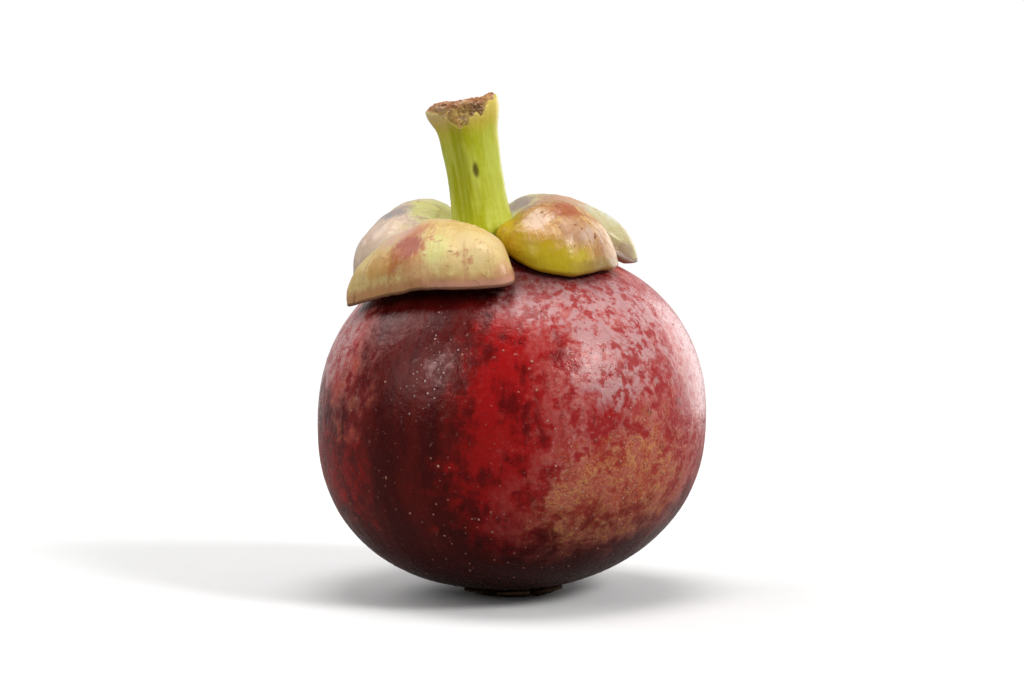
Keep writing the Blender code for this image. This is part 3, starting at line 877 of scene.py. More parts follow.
def stalk_break(rim):
    """Rings of the hollow, crumbly break inside the lip's rim."""
    inward = np.linspace(0.0, SCAR_REACH, SCAR_LEVELS + 1)[1:, None]
    scar = rim[None] * (1.0 - inward[..., None])
    scar[..., 2] = rim[:, 2] * (1.0 - inward) + np.mean(rim[:, 2]) * inward
    crumbs = grain(scar, 0.9 * MM, 4)
    fibres = grain(scar * (1, 1, 0.2), 0.35 * MM, 2)
    hollow = SCAR_HOLLOW * (1 - 0.45 * inward) + 0.80 * MM * crumbs
    scar[..., 2] -= smooth_step((inward - 0.08) / 0.42) * hollow
    scar[..., 2] += smooth_step(inward / 0.15) * 0.16 * MM * fibres
    return scar


def make_stalk():
    """A short square-shouldered stalk with torn skin below a corky break, and how bare each point is."""
    azimuths = np.linspace(-180.0, 180.0, STALK_SEGMENTS, endpoint=False)
    shares = np.linspace(0.0, 1.0, STALK_LEVELS)
    wall, torn, from_lenticel = stalk_wall(azimuths, shares)
    scar = stalk_break(wall[-1])
    sunk = wall[:1] * (1.0, 1.0, 0.0) * FOOT_NARROWING - (0.0, 0.0, FOOT_SINK)
    rings = in_place(np.concatenate([sunk, wall, scar]))
    foot = in_place(np.array((0.0, 0.0, -FOOT_DEPTH)))
    points, faces = closed_skin(foot, rings, in_place(scar[-1].mean(axis=0)))
    piece = make_piece("stalk_skin_and_break", points, faces, stalk_skin(), "stalk")

    share_of = np.concatenate([[0.0], shares, np.ones(SCAR_LEVELS)])[:, None]
    bare = np.concatenate([np.zeros((1, STALK_SEGMENTS)), torn, np.ones((SCAR_LEVELS, STALK_SEGMENTS))])
    spot = np.zeros_like(bare)
    spot[1:1 + STALK_LEVELS] = bump_at(from_lenticel, 0.0, 0.8)
    facts = np.stack(np.broadcast_arrays(share_of, bare, spot), axis=-1)
    note(piece, "stem", (0.0, 0.0, 0.0), facts, (1.0, 1.0, 0.0))
    lengthwise = spots_around(np.radians(azimuths), share_of * LENGTHWISE_STRETCH)
    note(piece, "lengthwise", (0.0, 0.0, 0.0), lengthwise, (0.0, 0.0, 1.0))
    return piece, np.concatenate([[0.0], bare.ravel(), [1.0]])


BREAK_CRUMBS = dict(
    skin="crumb_skin", dark=(0.290, 0.120, 0.055), light=(0.560, 0.310, 0.160), roughness=0.85,
    sizes={"Spacing": 0.30 * MM, "Most In A Square Metre": 3.0e6, "Bead Radius": 0.09 * MM,
           "Bead Height": 0.08 * MM, "Smallest": 0.3, "Largest": 2.4, "Seed": 5})


def make_break_crumbs(stalk, bare, tree):
    """Grains of dried tissue that stand up from the torn skin and the break."""
    strew("break_crumbs", tree, stalk, bare, "stalk", BREAK_CRUMBS)


STALK_RELIEF = 0.12 * MM
STALK_OLIVE = (0.440, 0.470, 0.014)
STALK_GREEN = (0.480, 0.520, 0.016)
STALK_LIME = (0.640, 0.700, 0.110)
STALK_OCHRE = (0.720, 0.600, 0.060)
STALK_CREAM = (0.840, 0.700, 0.420)
FRESH_BREAK = (0.860, 0.600, 0.200)
OLD_BREAK = (0.430, 0.185, 0.090)
PALE_BREAK = (0.700, 0.520, 0.340)
DARK_BREAK = (0.130, 0.055, 0.018)
DARK_SPOT = (0.110, 0.085, 0.008)


def stalk_skin():
    """Fresh yellow-green skin, ochre below the tear, then raw tissue that has dried brown."""
    material, t, shader = new_skin("stalk_skin", ior=1.34, shine=(1.0, 0.95, 0.55), coat=0.04,
                                   coat_roughness=0.25, subsurface=0.12, subsurface_scale=0.0015)
    share, bare, spot = t.split(t.noted("stem"))
    lengthwise = t.noted("lengthwise")
    place = t.place()
    facing = t.vector("MULTIPLY", lengthwise, (1.0, 1.0, 0.0))
    streaks = t.noise(lengthwise, 5.0, 3.0, 0.5)
    threads = t.noise(lengthwise, 30.0, 4.0, 0.6)
    clouds = t.noise(place, 260.0, 3.0, 0.55)
    lumps = t.noise(place, 620.0, 3.0, 0.6)
    crumbs = t.noise(place, 1500.0, 4.0, 0.65)

    skin = t.mix(t.span(t.sum([streaks, t.swing(clouds, 0.6)]), 0.36, 0.66), STALK_GREEN, STALK_LIME)
    # Painted light and shade: lighter lime on the side that faces the key light, darker olive on the side
    # turned away from it.
    skin = t.mix(t.area(facing, -38.0, 0.0, 17.0, 0.75), skin, STALK_LIME)
    skin = t.mix(t.area(facing, -118.0, 0.0, 24.0, 0.30), skin, STALK_OLIVE)
    skin = t.mix(t.area(facing, -5.0, 0.0, 14.0, 0.70), skin, STALK_OLIVE)
    skin = t.mix(t.span(threads, 0.58, 0.80, 0.0, 0.30), skin, STALK_OLIVE)
    ochre = t.span(t.sum([share, t.swing(clouds, 0.35), t.swing(streaks, 0.2)]), 0.66, 0.90, 0.0, 0.85)
    skin = t.mix(ochre, skin, STALK_OCHRE)
    left_lip = t.product(t.area(facing, -162.0, 0.0, 46.0), t.span(share, 0.80, 0.95))
    skin = t.mix(t.product(left_lip, 0.8), skin, STALK_CREAM)
    skin = t.mix(t.span(crumbs, 0.66, 0.76, 0.0, 0.4), skin, DARK_SPOT)
    skin = t.mix(t.span(t.sum([spot, t.swing(crumbs, 0.3)]), 0.15, 0.85, 0.0, 0.92), skin, DARK_SPOT)

    up = t.sum([share, t.swing(clouds, 0.20), t.swing(lumps, 0.12)])
    raw = t.mix(t.span(up, 0.92, 1.01), FRESH_BREAK, OLD_BREAK)
    notch = t.product(t.area(facing, -66.0, 0.0, 16.0), t.span(share, 0.84, 0.90), t.span(share, 0.985, 0.95))
    raw = t.mix(t.product(notch, 0.9), raw, DARK_BREAK)
    raw = t.mix(t.span(t.sum([lumps, t.swing(crumbs, 0.6)]), 0.52, 0.66, 0.0, 0.75), raw, PALE_BREAK)
    raw = t.mix(t.span(t.sum([lumps, t.swing(crumbs, 0.8)]), 0.40, 0.28, 0.0, 0.70), raw, DARK_BREAK)
    hem = t.span(t.sum([share, t.swing(lumps, 0.08)]), 0.80, 0.92, 0.0, 0.6)
    skin = t.mix(t.product(hem, t.area(facing, -98.0, 0.0, 50.0)), skin, FRESH_BREAK)
    t.feed(shader.inputs["Base Color"], t.mix(t.span(bare, 0.1, 0.9), skin, raw))
    t.feed(shader.inputs["Roughness"], t.span(bare, 0.2, 0.8, 0.36, 0.78))
    rough_tissue = t.product(crumbs, t.span(bare, 0.2, 0.8, 0.15, 1.5))
    relief(t, shader, t.sum([t.product(threads, 0.22), rough_tissue]), STALK_RELIEF)
    return material


# ---- The sepals ---------------------------------------------------------------------------------

SEPAL_SEGMENTS = 176
OUTER_RINGS = 65
EDGE_RINGS = 10
INNER_RINGS = 39
# Shares of the way out: from the crest to the rim, then back in; the rings lie closest at the rim.
OUTER_SHARES = 1.0 - (1.0 - np.linspace(0.0, 1.0, OUTER_RINGS + 1)[1:]) ** 1.6
INNER_SHARES = (1.0 - np.linspace(1.0, 0.0, INNER_RINGS + 1) ** 1.5)[::-1][:-1]
EDGE_TURNS = np.linspace(0.0, math.pi, EDGE_RINGS + 2)[1:-1]
EDGE_ROUNDNESS = 0.80
RIM_EASE = 0.3 * MM
RIM_STIFFNESS = 3.0          # a lift at the rim fades inwards with this power of the way out
RIM_WAVE = 0.30 * MM
ROLL_LEAN = -1.2             # the rolled edge points down this much for each step outwards
CORNER_ROUNDING_SPREAD = 34.0
NECK_SPREAD = 32.0
WELT_SPREAD = 85.0
VEIN_HEIGHT = 0.085          # in mm, as are the next two
LUMP_HEIGHT = 0.20
PUCKER_HEIGHT = 0.055
SEPAL_RELIEF = 0.16 * MM
BAND_SOFTNESS = 14.0         # degrees over which a band fades in on either side of its ends
VEIN_ORIGIN = -0.0105        # the veins fan out from this far behind a sepal's middle
VEIN_LENGTH = 0.020
VEIN_STRETCH = 0.16          # that length counts as this much across the veins in their fine grain
THIN_FROM = 0.35             # the flesh thins from this share of the way out
NECK_THICKENING = 0.6
OUTER_FACE_GAP = SEPAL_GAP + RIM_THICKNESS * 0.9
INNER_FACE_GAP = SEPAL_GAP * 0.8
NECK_REACH = 1.5 * MM        # the necks reach this much further, into the stalk's foot


def sepal_face(sepal, shares, angles):
    """Points of a sepal's outer face in the calyx frame, for shares and angles of one shape."""
    a = np.radians(angles)
    outward = np.cos(a)
    sideways = np.sin(a)
    takeover = smooth_step(shares)
    reach = around(SEPAL_OUTLINE, angles)
    reach = reach + sepal["ccw_corner"] * bump_at(angles, CORNER_ANGLE, CORNER_SPREAD)
    reach = reach + sepal["cw_corner"] * bump_at(angles, 360.0 - CORNER_ANGLE, CORNER_SPREAD)
    corners = (bump_at(angles, CORNER_ANGLE, CORNER_ROUNDING_SPREAD)
               + bump_at(angles, 360.0 - CORNER_ANGLE, CORNER_ROUNDING_SPREAD))
    reach = reach - sepal["rounding"] * corners + NECK_REACH * bump_at(angles, 180.0, NECK_SPREAD)
    reach = SEPAL_ROUND + (reach - SEPAL_ROUND) * takeover
    side = (sepal["cw_side"] + sepal["ccw_side"]) / 2
    rim = sepal["cw_side"] + (sepal["ccw_side"] - sepal["cw_side"]) * (sideways + 1.0) / 2
    front = np.maximum(outward, 0.0)
    inner = smooth_step(-1.15 * outward)
    rim = rim + (sepal["outer"] - rim) * front * front + (sepal["inner"] - rim) * inner
    fullness = sepal["fullness"] + (INNER_FULLNESS - sepal["fullness"]) * inner * takeover
    rim = side + (rim - side) * takeover
    dome = np.maximum(0.0, 1.0 - shares ** 2) ** fullness
    stretch = 1.0 + (sepal["length"] - 1.0) * smooth_step(outward) * takeover
    x = SEPAL_CENTRE + shares * reach * outward * stretch
    y = shares * reach * sideways * sepal["width"]
    z = rim + (sepal["crest"] - rim) * dome
    turn = math.radians(sepal["azimuth"])
    return np.stack([x * math.cos(turn) - y * math.sin(turn), x * math.sin(turn) + y * math.cos(turn), z],
                    axis=-1)


def sepal_depth(sepal, shares, angles):
    """Flesh is thickest by the stalk and thins towards the outer rim."""
    inner = smooth_step(-np.cos(np.radians(angles)) * shares * 1.3)
    thin = 1.0 - THIN_RIM * smooth_step((shares - THIN_FROM) / (1.0 - THIN_FROM))
    return sepal["thickness"] * (thin + NECK_THICKENING * inner)


def face_normals(sepal, shares, angles):
    """Unit normals of a sepal's outer face, read a little inside its crest and its rim."""
    middle = np.clip(shares, 0.02, 0.985)
    a = sepal_face(sepal, middle + 0.01, angles) - sepal_face(sepal, middle - 0.01, angles)
    b = sepal_face(sepal, middle, angles + 1.0) - sepal_face(sepal, middle, (angles - 1.0) % 360.0)
    return unit(np.cross(a, b))


def leaf_facts(sepal, shares, angles):
    """Where each point lies on the veins: their fan, the way along them, and the share of the way out."""
    a = np.radians(angles)
    reach = around(SEPAL_OUTLINE, angles) * shares
    x = reach * np.cos(a) - VEIN_ORIGIN
    y = reach * np.sin(a)
    return np.stack([np.arctan2(y, x), np.hypot(x, y) / VEIN_LENGTH, shares], axis=-1)


def laid_on_body(points, shares, rim, gap):
    """A face of a sepal in the row's frame, lifted clear of the body: most at its rim, least inside."""
    placed = in_place(points)
    rise = (clear_of_body(placed[rim], gap) - placed[rim]) @ CALYX_AXIS
    placed = placed + (rise * shares ** RIM_STIFFNESS)[..., None] * CALYX_AXIS
    return clear_of_body(placed, gap, RIM_EASE)


def fan_spots(facts, seed):
    """Where a face's lengthwise grain is read: drawn out along the veins."""
    return np.stack(np.broadcast_arrays(facts[..., 0], facts[..., 1] * VEIN_STRETCH, seed), axis=-1)


def rim_wave(shares, angles, seed):
    """How far a sepal waves up and down, most at its rim."""
    return RIM_WAVE * grain(spots_around(np.radians(angles), seed), 0.55, 3) * shares ** 6


def outer_face(sepal, shares, angles, seed):
    """The upper side of a sepal in the row's frame, with its veins, lumps and welted margin."""
    face = sepal_face(sepal, shares, angles)
    fan = fan_spots(leaf_facts(sepal, shares, angles), seed)
    veins = grain(fan, 0.085, 3) * smooth_step((0.98 - shares) / 0.3)
    lumps = grain(face + seed * 0.1, 5.0 * MM, 2)
    puckers = grain(face + seed * 0.1, 1.1 * MM, 3)
    rolled = bump_at(shares, 0.88, 0.10) - 0.6 * bump_at(shares, 0.66, 0.09)
    welt = sepal["welt"] * rolled * bump_at(from_middle(angles, sepal["welt_at"]), 0.0, WELT_SPREAD)
    rise = MM * (VEIN_HEIGHT * veins + LUMP_HEIGHT * lumps + PUCKER_HEIGHT * puckers) + welt
    face = face + face_normals(sepal, shares, angles) * rise[..., None]
    face[..., 2] += rim_wave(shares, angles, seed)
    return laid_on_body(face, shares, -1, OUTER_FACE_GAP)


def inner_face(sepal, shares, angles, seed):
    """The under side of a sepal in the row's frame, from its rim to the middle of its hollow."""
    fan = fan_spots(leaf_facts(sepal, shares, angles), seed + 3)
    depth = sepal_depth(sepal, shares, angles)
    depth = depth * (1.0 - sepal["thinning"] * smooth_step((shares - 0.7) / 0.3))
    depth = depth + 0.10 * MM * grain(fan, 0.11, 3) * (1.0 - shares)
    face = sepal_face(sepal, shares, angles) - face_normals(sepal, shares, angles) * depth[..., None]
    face[..., 2] += rim_wave(shares, angles, seed)
    return laid_on_body(face, shares, 0, INNER_FACE_GAP)


def rolled_edge(top_edge, low_edge, turns):
    """Rings that round a sepal's rim off, from its outer face to its inner face."""
    middle = (top_edge + low_edge) / 2
    half = (top_edge - low_edge) / 2
    across_rim = unit(half)
    onward = spots_around(turns, ROLL_LEAN) @ CALYX[:3, :3].T
    onward = onward - np.sum(onward * across_rim, axis=-1, keepdims=True) * across_rim
    bulge = unit(onward) * np.linalg.norm(half, axis=-1, keepdims=True) * EDGE_ROUNDNESS
    return np.stack([middle + math.cos(roll) * half + math.sin(roll) * bulge for roll in EDGE_TURNS])


def make_sepal(name, sepal, seed):
    """A thick cupped leaf with fanning veins, a welted margin and a rounded, slightly wavy rim."""
    circle = np.linspace(0.0, 360.0, SEPAL_SEGMENTS, endpoint=False)
    shares, angles = np.meshgrid(OUTER_SHARES, circle, indexing="ij")
    in_shares, in_angles = np.meshgrid(INNER_SHARES, circle, indexing="ij")
    outer = outer_face(sepal, shares, angles, seed)
    inner = inner_face(sepal, in_shares, in_angles, seed)
    edge = rolled_edge(outer[-1], inner[0], np.radians(circle + sepal["azimuth"]))
    rings = np.concatenate([outer, edge, inner])
    points, faces = closed_skin(outer[0].mean(axis=0), rings, inner[-1].mean(axis=0))
    piece = make_piece(name + "_leaf", points, faces, sepal_skin(sepal, SEPAL_LOOKS[name]), name)

    # The material reads the way to the rim, in mm, in place of the share of the way out.
    facts = leaf_facts(sepal, shares, angles)
    facts[..., 2] = np.linalg.norm(outer - outer[-1], axis=-1) / MM
    in_facts = leaf_facts(sepal, in_shares, in_angles)
    in_facts[..., 2] = np.linalg.norm(inner - inner[0], axis=-1) / MM
    edge_facts = np.repeat(facts[-1:], len(EDGE_TURNS), axis=0)
    every = np.concatenate([facts, edge_facts, in_facts])
    note(piece, "leaf", facts[0].mean(axis=0), every, in_facts[-1].mean(axis=0))

    edge_angles, edge_shares = (np.repeat(row[None], len(EDGE_TURNS), axis=0)
                                for row in (circle, np.ones(SEPAL_SEGMENTS)))
    across = np.radians(np.concatenate([angles, edge_angles, in_angles]))
    plan = np.concatenate([shares, edge_shares, in_shares])
    under = np.concatenate([np.zeros(len(OUTER_SHARES)), np.linspace(0.2, 0.8, len(EDGE_TURNS)),
                            np.ones(len(INNER_SHARES))])
    note(piece, "plan", (0.0, 0.0, 0.0), spots_around(across, under[:, None], plan), (0.0, 0.0, 1.0))


SEPAL_SCAB = (0.170, 0.060, 0.025)
SEPAL_UNDERSIDE = (0.400, 0.360, 0.130)
# How each sepal is coloured. A tint is a soft patch: degrees from the outward direction, share of
# the way to the rim, radius in mm, colour, strength. A band follows the rim: the middle of its
# stretch and half its length in degrees, width in mm, colour, strength.
SEPAL_LOOKS = {
    "sepal_front_left": dict(
        skin="tan_leaf", seed=1.0, leaf=(0.680, 0.460, 0.160), second=(0.760, 0.580, 0.240),
        streak=(0.520, 0.200, 0.095), streaking=0.50, scabs=0.70, coat=0.06,
        neck=(0.600, 0.600, 0.120),
        tints=[
            (30.0, 0.78, 2.6, (0.730, 0.720, 0.270), 0.70), (62.0, 0.80, 3.8, (0.800, 0.610, 0.300), 0.75),
            (352.0, 0.80, 3.6, (0.560, 0.210, 0.080), 0.90),
            (344.0, 0.50, 2.8, (0.560, 0.190, 0.110), 0.80),
            (352.0, 0.74, 2.9, (0.360, 0.060, 0.022), 0.98),
            (340.0, 0.88, 2.4, (0.480, 0.150, 0.030), 0.85),
            (322.0, 0.88, 2.6, (0.600, 0.320, 0.090), 0.80),
            (300.0, 0.45, 3.2, (0.700, 0.420, 0.320), 0.85), (282.0, 0.97, 2.2, (0.300, 0.180, 0.120), 0.80),
            (72.0, 0.99, 2.4, (0.700, 0.400, 0.210), 0.80), (8.0, 0.95, 2.4, (0.640, 0.330, 0.130), 0.70),
        ],
        bands=[(20.0, 150.0, 2.0, (0.540, 0.220, 0.095), 0.72),
               (52.0, 30.0, 1.3, (0.680, 0.330, 0.260), 0.60),
               # This dark line right at the rim is partly a dried edge and partly painted shade.
               (20.0, 180.0, 0.25, (0.150, 0.055, 0.030), 0.80)]),
    "sepal_front_right": dict(
        skin="orange_leaf", seed=2.0, leaf=(0.440, 0.180, 0.024), second=(0.740, 0.450, 0.180),
        streak=(0.300, 0.085, 0.020), streaking=0.75, scabs=1.00, coat=0.14,
        neck=(0.440, 0.330, 0.012),
        tints=[
            # The pale tints at 286 and 350 degrees are painted highlights.
            (338.0, 0.48, 2.5, (0.420, 0.110, 0.040), 0.90), (286.0, 0.64, 2.4, (0.900, 0.640, 0.470), 0.90),
            (330.0, 0.80, 2.6, (0.540, 0.300, 0.190), 0.70), (350.0, 0.83, 1.7, (0.680, 0.480, 0.370), 0.80),
            (12.0, 0.93, 3.0, (0.450, 0.210, 0.050), 0.80), (190.0, 0.30, 3.0, (0.420, 0.260, 0.200), 0.60),
        ],
        bands=[(262.0, 56.0, 4.6, (0.580, 0.380, 0.003), 0.97),
               (305.0, 34.0, 3.6, (0.600, 0.450, 0.014), 0.96),
               (345.0, 24.0, 1.6, (0.450, 0.300, 0.040), 0.85),
               (20.0, 40.0, 1.4, (0.330, 0.190, 0.050), 0.75)]),
    "sepal_back_right": dict(
        skin="pale_leaf", seed=3.0, leaf=(0.540, 0.480, 0.220), second=(0.620, 0.560, 0.320),
        streak=(0.520, 0.300, 0.180), streaking=0.45, scabs=0.50, coat=0.10,
        neck=(0.500, 0.520, 0.150),
        tints=[
            (314.0, 0.82, 6.0, (0.720, 0.710, 0.590), 0.97), (340.0, 0.66, 4.8, (0.680, 0.670, 0.500), 0.92),
            (262.0, 0.55, 4.2, (0.520, 0.270, 0.190), 0.85), (300.0, 0.52, 3.2, (0.600, 0.340, 0.190), 0.80),
            (180.0, 0.40, 3.0, (0.300, 0.220, 0.240), 0.85),
            (282.0, 0.99, 1.5, (0.400, 0.260, 0.200), 0.60), (26.0, 0.45, 5.0, (0.470, 0.440, 0.130), 0.75),
            (62.0, 0.80, 4.6, (0.560, 0.360, 0.140), 0.75), (348.0, 0.86, 3.2, (0.460, 0.200, 0.100), 0.65),
            (110.0, 0.60, 4.0, (0.420, 0.420, 0.090), 0.75),
        ],
        bands=[(0.0, 180.0, 0.5, (0.330, 0.220, 0.190), 0.80)]),
    "sepal_back_left": dict(
        skin="dusky_leaf", seed=4.0, leaf=(0.660, 0.490, 0.360), second=(0.740, 0.600, 0.460),
        streak=(0.540, 0.260, 0.190), streaking=0.60, scabs=0.45, coat=0.30,
        neck=(0.680, 0.660, 0.200),
        tints=[
            (166.0, 0.60, 5.0, (0.860, 0.820, 0.300), 0.92), (84.0, 0.46, 2.4, (0.330, 0.290, 0.300), 0.85),
            (76.0, 0.80, 3.0, (0.720, 0.520, 0.400), 0.70), (340.0, 0.55, 5.2, (0.520, 0.470, 0.130), 0.80),
            (296.0, 0.80, 4.2, (0.520, 0.300, 0.130), 0.75), (14.0, 0.90, 3.4, (0.470, 0.190, 0.100), 0.70),
            (262.0, 0.50, 3.6, (0.480, 0.460, 0.110), 0.75),
        ],
        bands=[(0.0, 180.0, 0.7, (0.420, 0.240, 0.150), 0.75)]),
}


def sepal_skin(sepal, look):
    """Leathery leaf skin in soft tints, a few of them painted highlight, streaked from the neck, with scabs,
    scratches and a margin; one rim has a dark line that is partly painted shade.
    """
    material, t, shader = new_skin(look["skin"], ior=1.40, shine=(1.0, 0.92, 0.80), coat=look["coat"],
                                   coat_roughness=0.16, subsurface=0.06, subsurface_scale=0.0015)
    fan, length, to_rim = t.split(t.noted("leaf"))
    ahead, across, under = t.split(t.noted("plan"))
    place = t.place()
    elsewhere = t.vector("ADD", place, (look["seed"], 0.0, 0.0))
    fanned = t.join(fan, t.product(length, 0.12), look["seed"])
    veins = t.noise(fanned, 20.0, 5.0, 0.62, 0.3)
    crossways = t.noise(t.join(t.product(fan, 6.0), t.product(length, 44.0), look["seed"]), 1.0, 2.0, 0.5)
    clouds = t.noise(elsewhere, 210.0, 3.0, 0.55)
    mottles = t.noise(elsewhere, 560.0, 4.0, 0.62)
    flecks = t.noise(elsewhere, 1250.0, 3.0, 0.62)
    grit = t.noise(elsewhere, 3400.0, 2.0, 0.6)

    colour = t.mix(t.span(t.sum([mottles, t.swing(veins, 0.9)]), 0.36, 0.64), look["leaf"], look["second"])
    by_neck = t.span(t.sum([length, t.swing(clouds, 0.3)]), 0.50, 0.18, 0.0, 0.9)
    colour = t.mix(by_neck, colour, look["neck"])
    for angle, share, radius, tint, strength in look["tints"]:
        middle = in_place(sepal_face(sepal, np.array(share), np.array(angle)))
        away = t.math("DIVIDE", t.vector("DISTANCE", place, tuple(middle)), radius * MM)
        ragged = t.sum([away, t.swing(clouds, 0.9), t.swing(veins, 1.3), t.swing(mottles, 1.4),
                        t.swing(flecks, 0.8)])
        colour = t.mix(t.span(ragged, 1.30, 0.55, 0.0, strength), colour, tint)
    colour = t.mix(t.span(veins, 0.54, 0.72, 0.0, look["streaking"]), colour, look["streak"])
    netted = t.span(t.sum([flecks, t.swing(mottles, 0.9)]), 0.56, 0.68, 0.0, look["scabs"])
    colour = t.mix(t.product(netted, t.span(clouds, 0.40, 0.58)), colour, look["streak"])
    out_from_middle = t.vector("NORMALIZE", t.join(ahead, across, 0.0))
    for middle, half, width, tint, strength in look["bands"]:
        turned = t.vector("DOT_PRODUCT", out_from_middle, tuple(bearing(middle, 0.0)))
        fades_out = math.cos(math.radians(min(half + BAND_SOFTNESS, 180.0)))
        all_there = math.cos(math.radians(max(half - BAND_SOFTNESS, 0.0)))
        stretch = t.span(turned, fades_out - 0.001, all_there)
        uneven = t.sum([t.math("DIVIDE", to_rim, width), t.swing(mottles, 1.0), t.swing(veins, 0.3)])
        colour = t.mix(t.product(t.span(uneven, 1.30, 0.50), stretch, strength), colour, tint)
    colour = t.mix(t.span(flecks, 0.66, 0.74, 0.0, 0.60), colour, SEPAL_SCAB)
    colour = t.mix(t.span(crossways, 0.68, 0.74, 0.0, 0.55), colour, SEPAL_SCAB)
    colour = t.mix(t.product(t.span(under, 0.55, 0.95), 0.85), colour, SEPAL_UNDERSIDE)
    t.feed(shader.inputs["Base Color"], colour)
    t.feed(shader.inputs["Roughness"], t.span(t.sum([mottles, t.swing(flecks, 0.6)]), 0.36, 0.66, 0.28, 0.46))
    height = t.weighted((veins, 0.45), (mottles, 0.50), (flecks, 0.22), (grit, 0.03))
    relief(t, shader, height, SEPAL_RELIEF)
    return material


# ---- The stigma rosette --------------------------------------------------------------------------

ROSETTE_LOBES = 6
ROSETTE_RADIUS = 0.0078
ROSETTE_FLAT_RADIUS = 0.0054
ROSETTE_NOTCH = 0.0026
ROSETTE_EDGE = 0.0005
ROSETTE_SEGMENTS = ROSETTE_LOBES * 32
NOTCH_SPREAD = 7.0
LOBE_CROWN = 0.0006
ROSETTE_RINGS = 45
ROSETTE_SINK = 0.25 * MM     # the rosette's upper face lies this far below the body's skin
LEAST_CORK = 0.2 * MM
GROOVE_WIDTH = 0.42 * MM
LOBE_LINE_WIDTH = 0.3 * MM
GROOVE_DEPTH = 0.34          # in mm, as are the next two
LOBE_LINE_DEPTH = 0.08
CORK_ROUGHNESS = 0.10
HALVINGS = 34                # steps of the search for the body's underside
CORK_DARK = (0.075, 0.035, 0.020)
CORK_BROWN = (0.200, 0.110, 0.060)
CORK_PALE = (0.330, 0.215, 0.130)
CORK_RELIEF = 0.14 * MM


def under_body(spots):
    """Height of the body's underside over points of the ground plan."""
    low = np.zeros(spots.shape[:-1])
    high = np.full(spots.shape[:-1], EQUATOR_HEIGHT)
    for _ in range(HALVINGS):
        z = (low + high) / 2
        offset = np.concatenate([spots[..., :2], z[..., None]], axis=-1) - np.array(BODY_CENTRE)
        outside = np.linalg.norm(offset, axis=-1) > body_reach(unit(offset))
        low = np.where(outside, z, low)
        high = np.where(outside, high, z)
    return (low + high) / 2


def make_rosette():
    """The flat corky star that the fruit stands on, its lobes ridged and parted by grooves."""
    azimuths = np.linspace(0.0, 360.0, ROSETTE_SEGMENTS, endpoint=False)
    pitch = 360.0 / ROSETTE_LOBES
    from_notch = np.abs((azimuths + pitch / 2) % pitch - pitch / 2)
    outline = (ROSETTE_RADIUS - ROSETTE_NOTCH * bump_at(from_notch, 0.0, NOTCH_SPREAD)
               - LOBE_CROWN * np.cos(np.radians(ROSETTE_LOBES * azimuths)))
    ring_shares = np.linspace(0.0, 1.0, ROSETTE_RINGS + 1)[1:]
    shares, angles = np.meshgrid(ring_shares, azimuths, indexing="ij")
    radius = outline * shares
    a = np.radians(angles)
    spots = spots_around(a, 0.0, radius)
    high = under_body(spots) - ROSETTE_SINK
    rise = smooth_step((radius - ROSETTE_FLAT_RADIUS) / (ROSETTE_RADIUS - ROSETTE_FLAT_RADIUS))
    along_arc = np.radians(1.0) * radius
    groove = bump_at(from_notch * along_arc, 0.0, GROOVE_WIDTH) * smooth_step(radius / (2.2 * MM))
    lobe_line = bump_at((pitch / 2 - from_notch) * along_arc, 0.0, LOBE_LINE_WIDTH)
    rough = (0.5 + 0.5 * grain(spots, 0.9 * MM, 4)) * smooth_step((radius - 0.6 * MM) / MM)
    marks = (GROOVE_DEPTH * groove + LOBE_LINE_DEPTH * lobe_line * smooth_step(radius / (3 * MM))
             + CORK_ROUGHNESS * rough)
    low = np.minimum((high - ROSETTE_EDGE) * rise + MM * marks, high - LEAST_CORK)
    rings = np.concatenate([spots_around(a, low, radius), spots_around(a, high, radius)[::-5]])
    middle = np.array((0.0, 0.0, high[0].mean()))
    points, faces = closed_skin(np.zeros(3), rings, middle)
    make_piece("stigma_star", points, faces, cork_skin(), "stigma_rosette")


def cork_skin():
    """Dry brown cork, clouded and flecked with pale crumbs."""
    material, t, shader = new_skin("cork_skin", ior=1.4)
    place = t.place()
    clouds = t.noise(place, 420.0, 4.0, 0.6)
    crumbs = t.noise(place, 1900.0, 4.0, 0.65)
    colour = t.mix(t.span(clouds, 0.35, 0.65), CORK_DARK, CORK_BROWN)
    colour = t.mix(t.span(crumbs, 0.58, 0.70, 0.0, 0.6), colour, CORK_PALE)
    t.feed(shader.inputs["Base Color"], colour)
    t.feed(shader.inputs["Roughness"], t.span(crumbs, 0.3, 0.7, 0.68, 0.88))
    relief(t, shader, t.sum([crumbs, t.product(clouds, 0.6)]), CORK_RELIEF)
    return material


# ---- The studio --------------------------------------------------------------------------------

CAMERA_AZIMUTH = -90.0
CAMERA_ELEVATION = 5.0
CAMERA_LENS = 120.0
NEAREST_SEEN = 0.05          # what the camera sees starts and ends at these shares of its distance
FURTHEST_SEEN = 40
FAR_AWAY = 2.0
PICTURE_HEIGHT_SHARE = 683 / 1024       # the picture's height as a share of its width
FILL_SHARE = 0.74            # share of the picture's height that the fruit takes up
ROOM_LIGHT = 0.18
WALL_LIGHT = 0.60
BRIGHT_AZIMUTH = 55.0
BACKDROP_LIGHT = 1.04
FLOOR_RADIUS = 0.26
FLOOR_SIDES = 96
PAPER_GREY = (0.87, 0.87, 0.865)
PAPER_WHITE = (0.91, 0.91, 0.905)
FLOOR_BOUNCE = (0.20, 0.18, 0.17)       # the colour of the light that the paper throws back


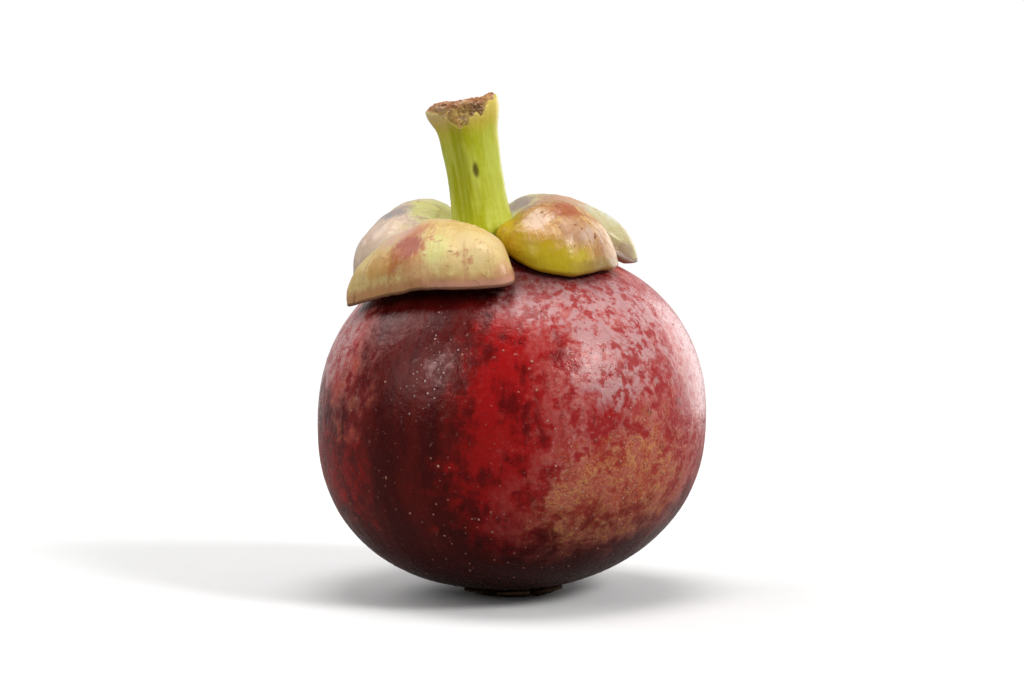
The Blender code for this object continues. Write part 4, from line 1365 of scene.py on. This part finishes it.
def make_camera():
    camera = new_object("camera", bpy.data.cameras.new("camera"))
    camera.data.lens = CAMERA_LENS
    picture_height = camera.data.sensor_width * PICTURE_HEIGHT_SHARE
    distance = (CAD_HIGH.z - CAD_LOW.z) / FILL_SHARE * CAMERA_LENS / picture_height
    aim(camera, CAMERA_AZIMUTH, CAMERA_ELEVATION, distance)
    camera.data.clip_start = distance * NEAREST_SEEN
    camera.data.clip_end = distance * FURTHEST_SEEN
    bpy.context.scene.camera = camera


def aim(holder, azimuth, elevation, distance):
    """Puts a light or camera at a bearing from the fruit's middle, looking at it."""
    away = Vector(bearing(azimuth, elevation))
    holder.location = (CAD_LOW + CAD_HIGH) / 2 + away * distance
    holder.rotation_euler = away.to_track_quat("Z", "Y").to_euler()


def make_softbox(name, azimuth, elevation, distance, width, height, watts):
    light = bpy.data.lights.new(name, "AREA")
    light.shape = "RECTANGLE"
    light.size = width
    light.size_y = height
    light.energy = watts
    aim(new_object(name, light), azimuth, elevation, distance)


def make_far_light(name, azimuth, elevation, softness, strength):
    """A light so far off that the whole floor gets the same from it."""
    light = bpy.data.lights.new(name, "SUN")
    light.angle = math.radians(softness)
    light.energy = strength
    aim(new_object(name, light), azimuth, elevation, FAR_AWAY)


def make_floor():
    """A round table top of pale paper."""
    rim = [(FLOOR_RADIUS * math.cos(turn), FLOOR_RADIUS * math.sin(turn), 0.0)
           for turn in np.linspace(0.0, 2 * math.pi, FLOOR_SIDES, endpoint=False)]
    mesh = bpy.data.meshes.new("floor")
    mesh.from_pydata(rim, [], [tuple(range(len(rim)))])
    material, t, shader = new_skin("floor_paper", ior=1.2)
    place = t.place()
    paper = t.mix(t.noise(place, 90.0), PAPER_GREY, PAPER_WHITE)
    seen = t.node("ShaderNodeLightPath").outputs["Is Camera Ray"]
    t.feed(shader.inputs["Base Color"], t.mix(seen, FLOOR_BOUNCE, paper))
    t.feed(shader.inputs["Roughness"], 0.9)
    mesh.materials.append(material)
    new_object("floor", mesh)


def make_world():
    """A white backdrop in a dim room, brighter behind the fruit and to its right than before it."""
    world = bpy.data.worlds.new("studio")
    world.use_nodes = True
    t = Tree(world.node_tree)
    seen = t.node("ShaderNodeLightPath").outputs["Is Camera Ray"]
    towards = t.node("ShaderNodeTexCoord").outputs["Generated"]
    behind = t.vector("DOT_PRODUCT", towards, tuple(bearing(BRIGHT_AZIMUTH, 0.0)))
    room = t.span(behind, -0.1, 0.8, ROOM_LIGHT, WALL_LIGHT)
    t.feed(world.node_tree.nodes["Background"].inputs["Color"], (1.0, 1.0, 1.0, 1.0))
    t.feed(world.node_tree.nodes["Background"].inputs["Strength"], t.between(seen, room, BACKDROP_LIGHT))
    bpy.context.scene.world = world


def make_studio():
    bpy.context.scene.view_settings.view_transform = "Standard"
    make_world()
    make_far_light("key_light", -34.0, 36.0, 18.0, 1.8)
    make_far_light("top_light", -84.0, 86.0, 30.0, 1.2)
    make_far_light("right_wall_light", 50.0, 4.0, 44.0, 0.95)
    make_far_light("left_window_light", 152.0, 46.0, 34.0, 0.75)
    make_far_light("left_front_light", -154.0, 26.0, 34.0, 0.45)
    make_softbox("left_strip", -136.0, 30.0, 0.60, 0.07, 0.30, 0.35)
    make_floor()
    make_camera()


# ---- Putting it together -------------------------------------------------------------------------

FIRST_SEPAL_SEED = 1.1
SEPAL_SEED_STEP = 7.3


def main():
    make_studio()
    beads = bead_tree()
    make_rind_beads(make_rind(), beads)
    make_break_crumbs(*make_stalk(), beads)
    for number, (name, sepal) in enumerate(SEPALS.items()):
        make_sepal(name, sepal, number * SEPAL_SEED_STEP + FIRST_SEPAL_SEED)
    make_rosette()


main()
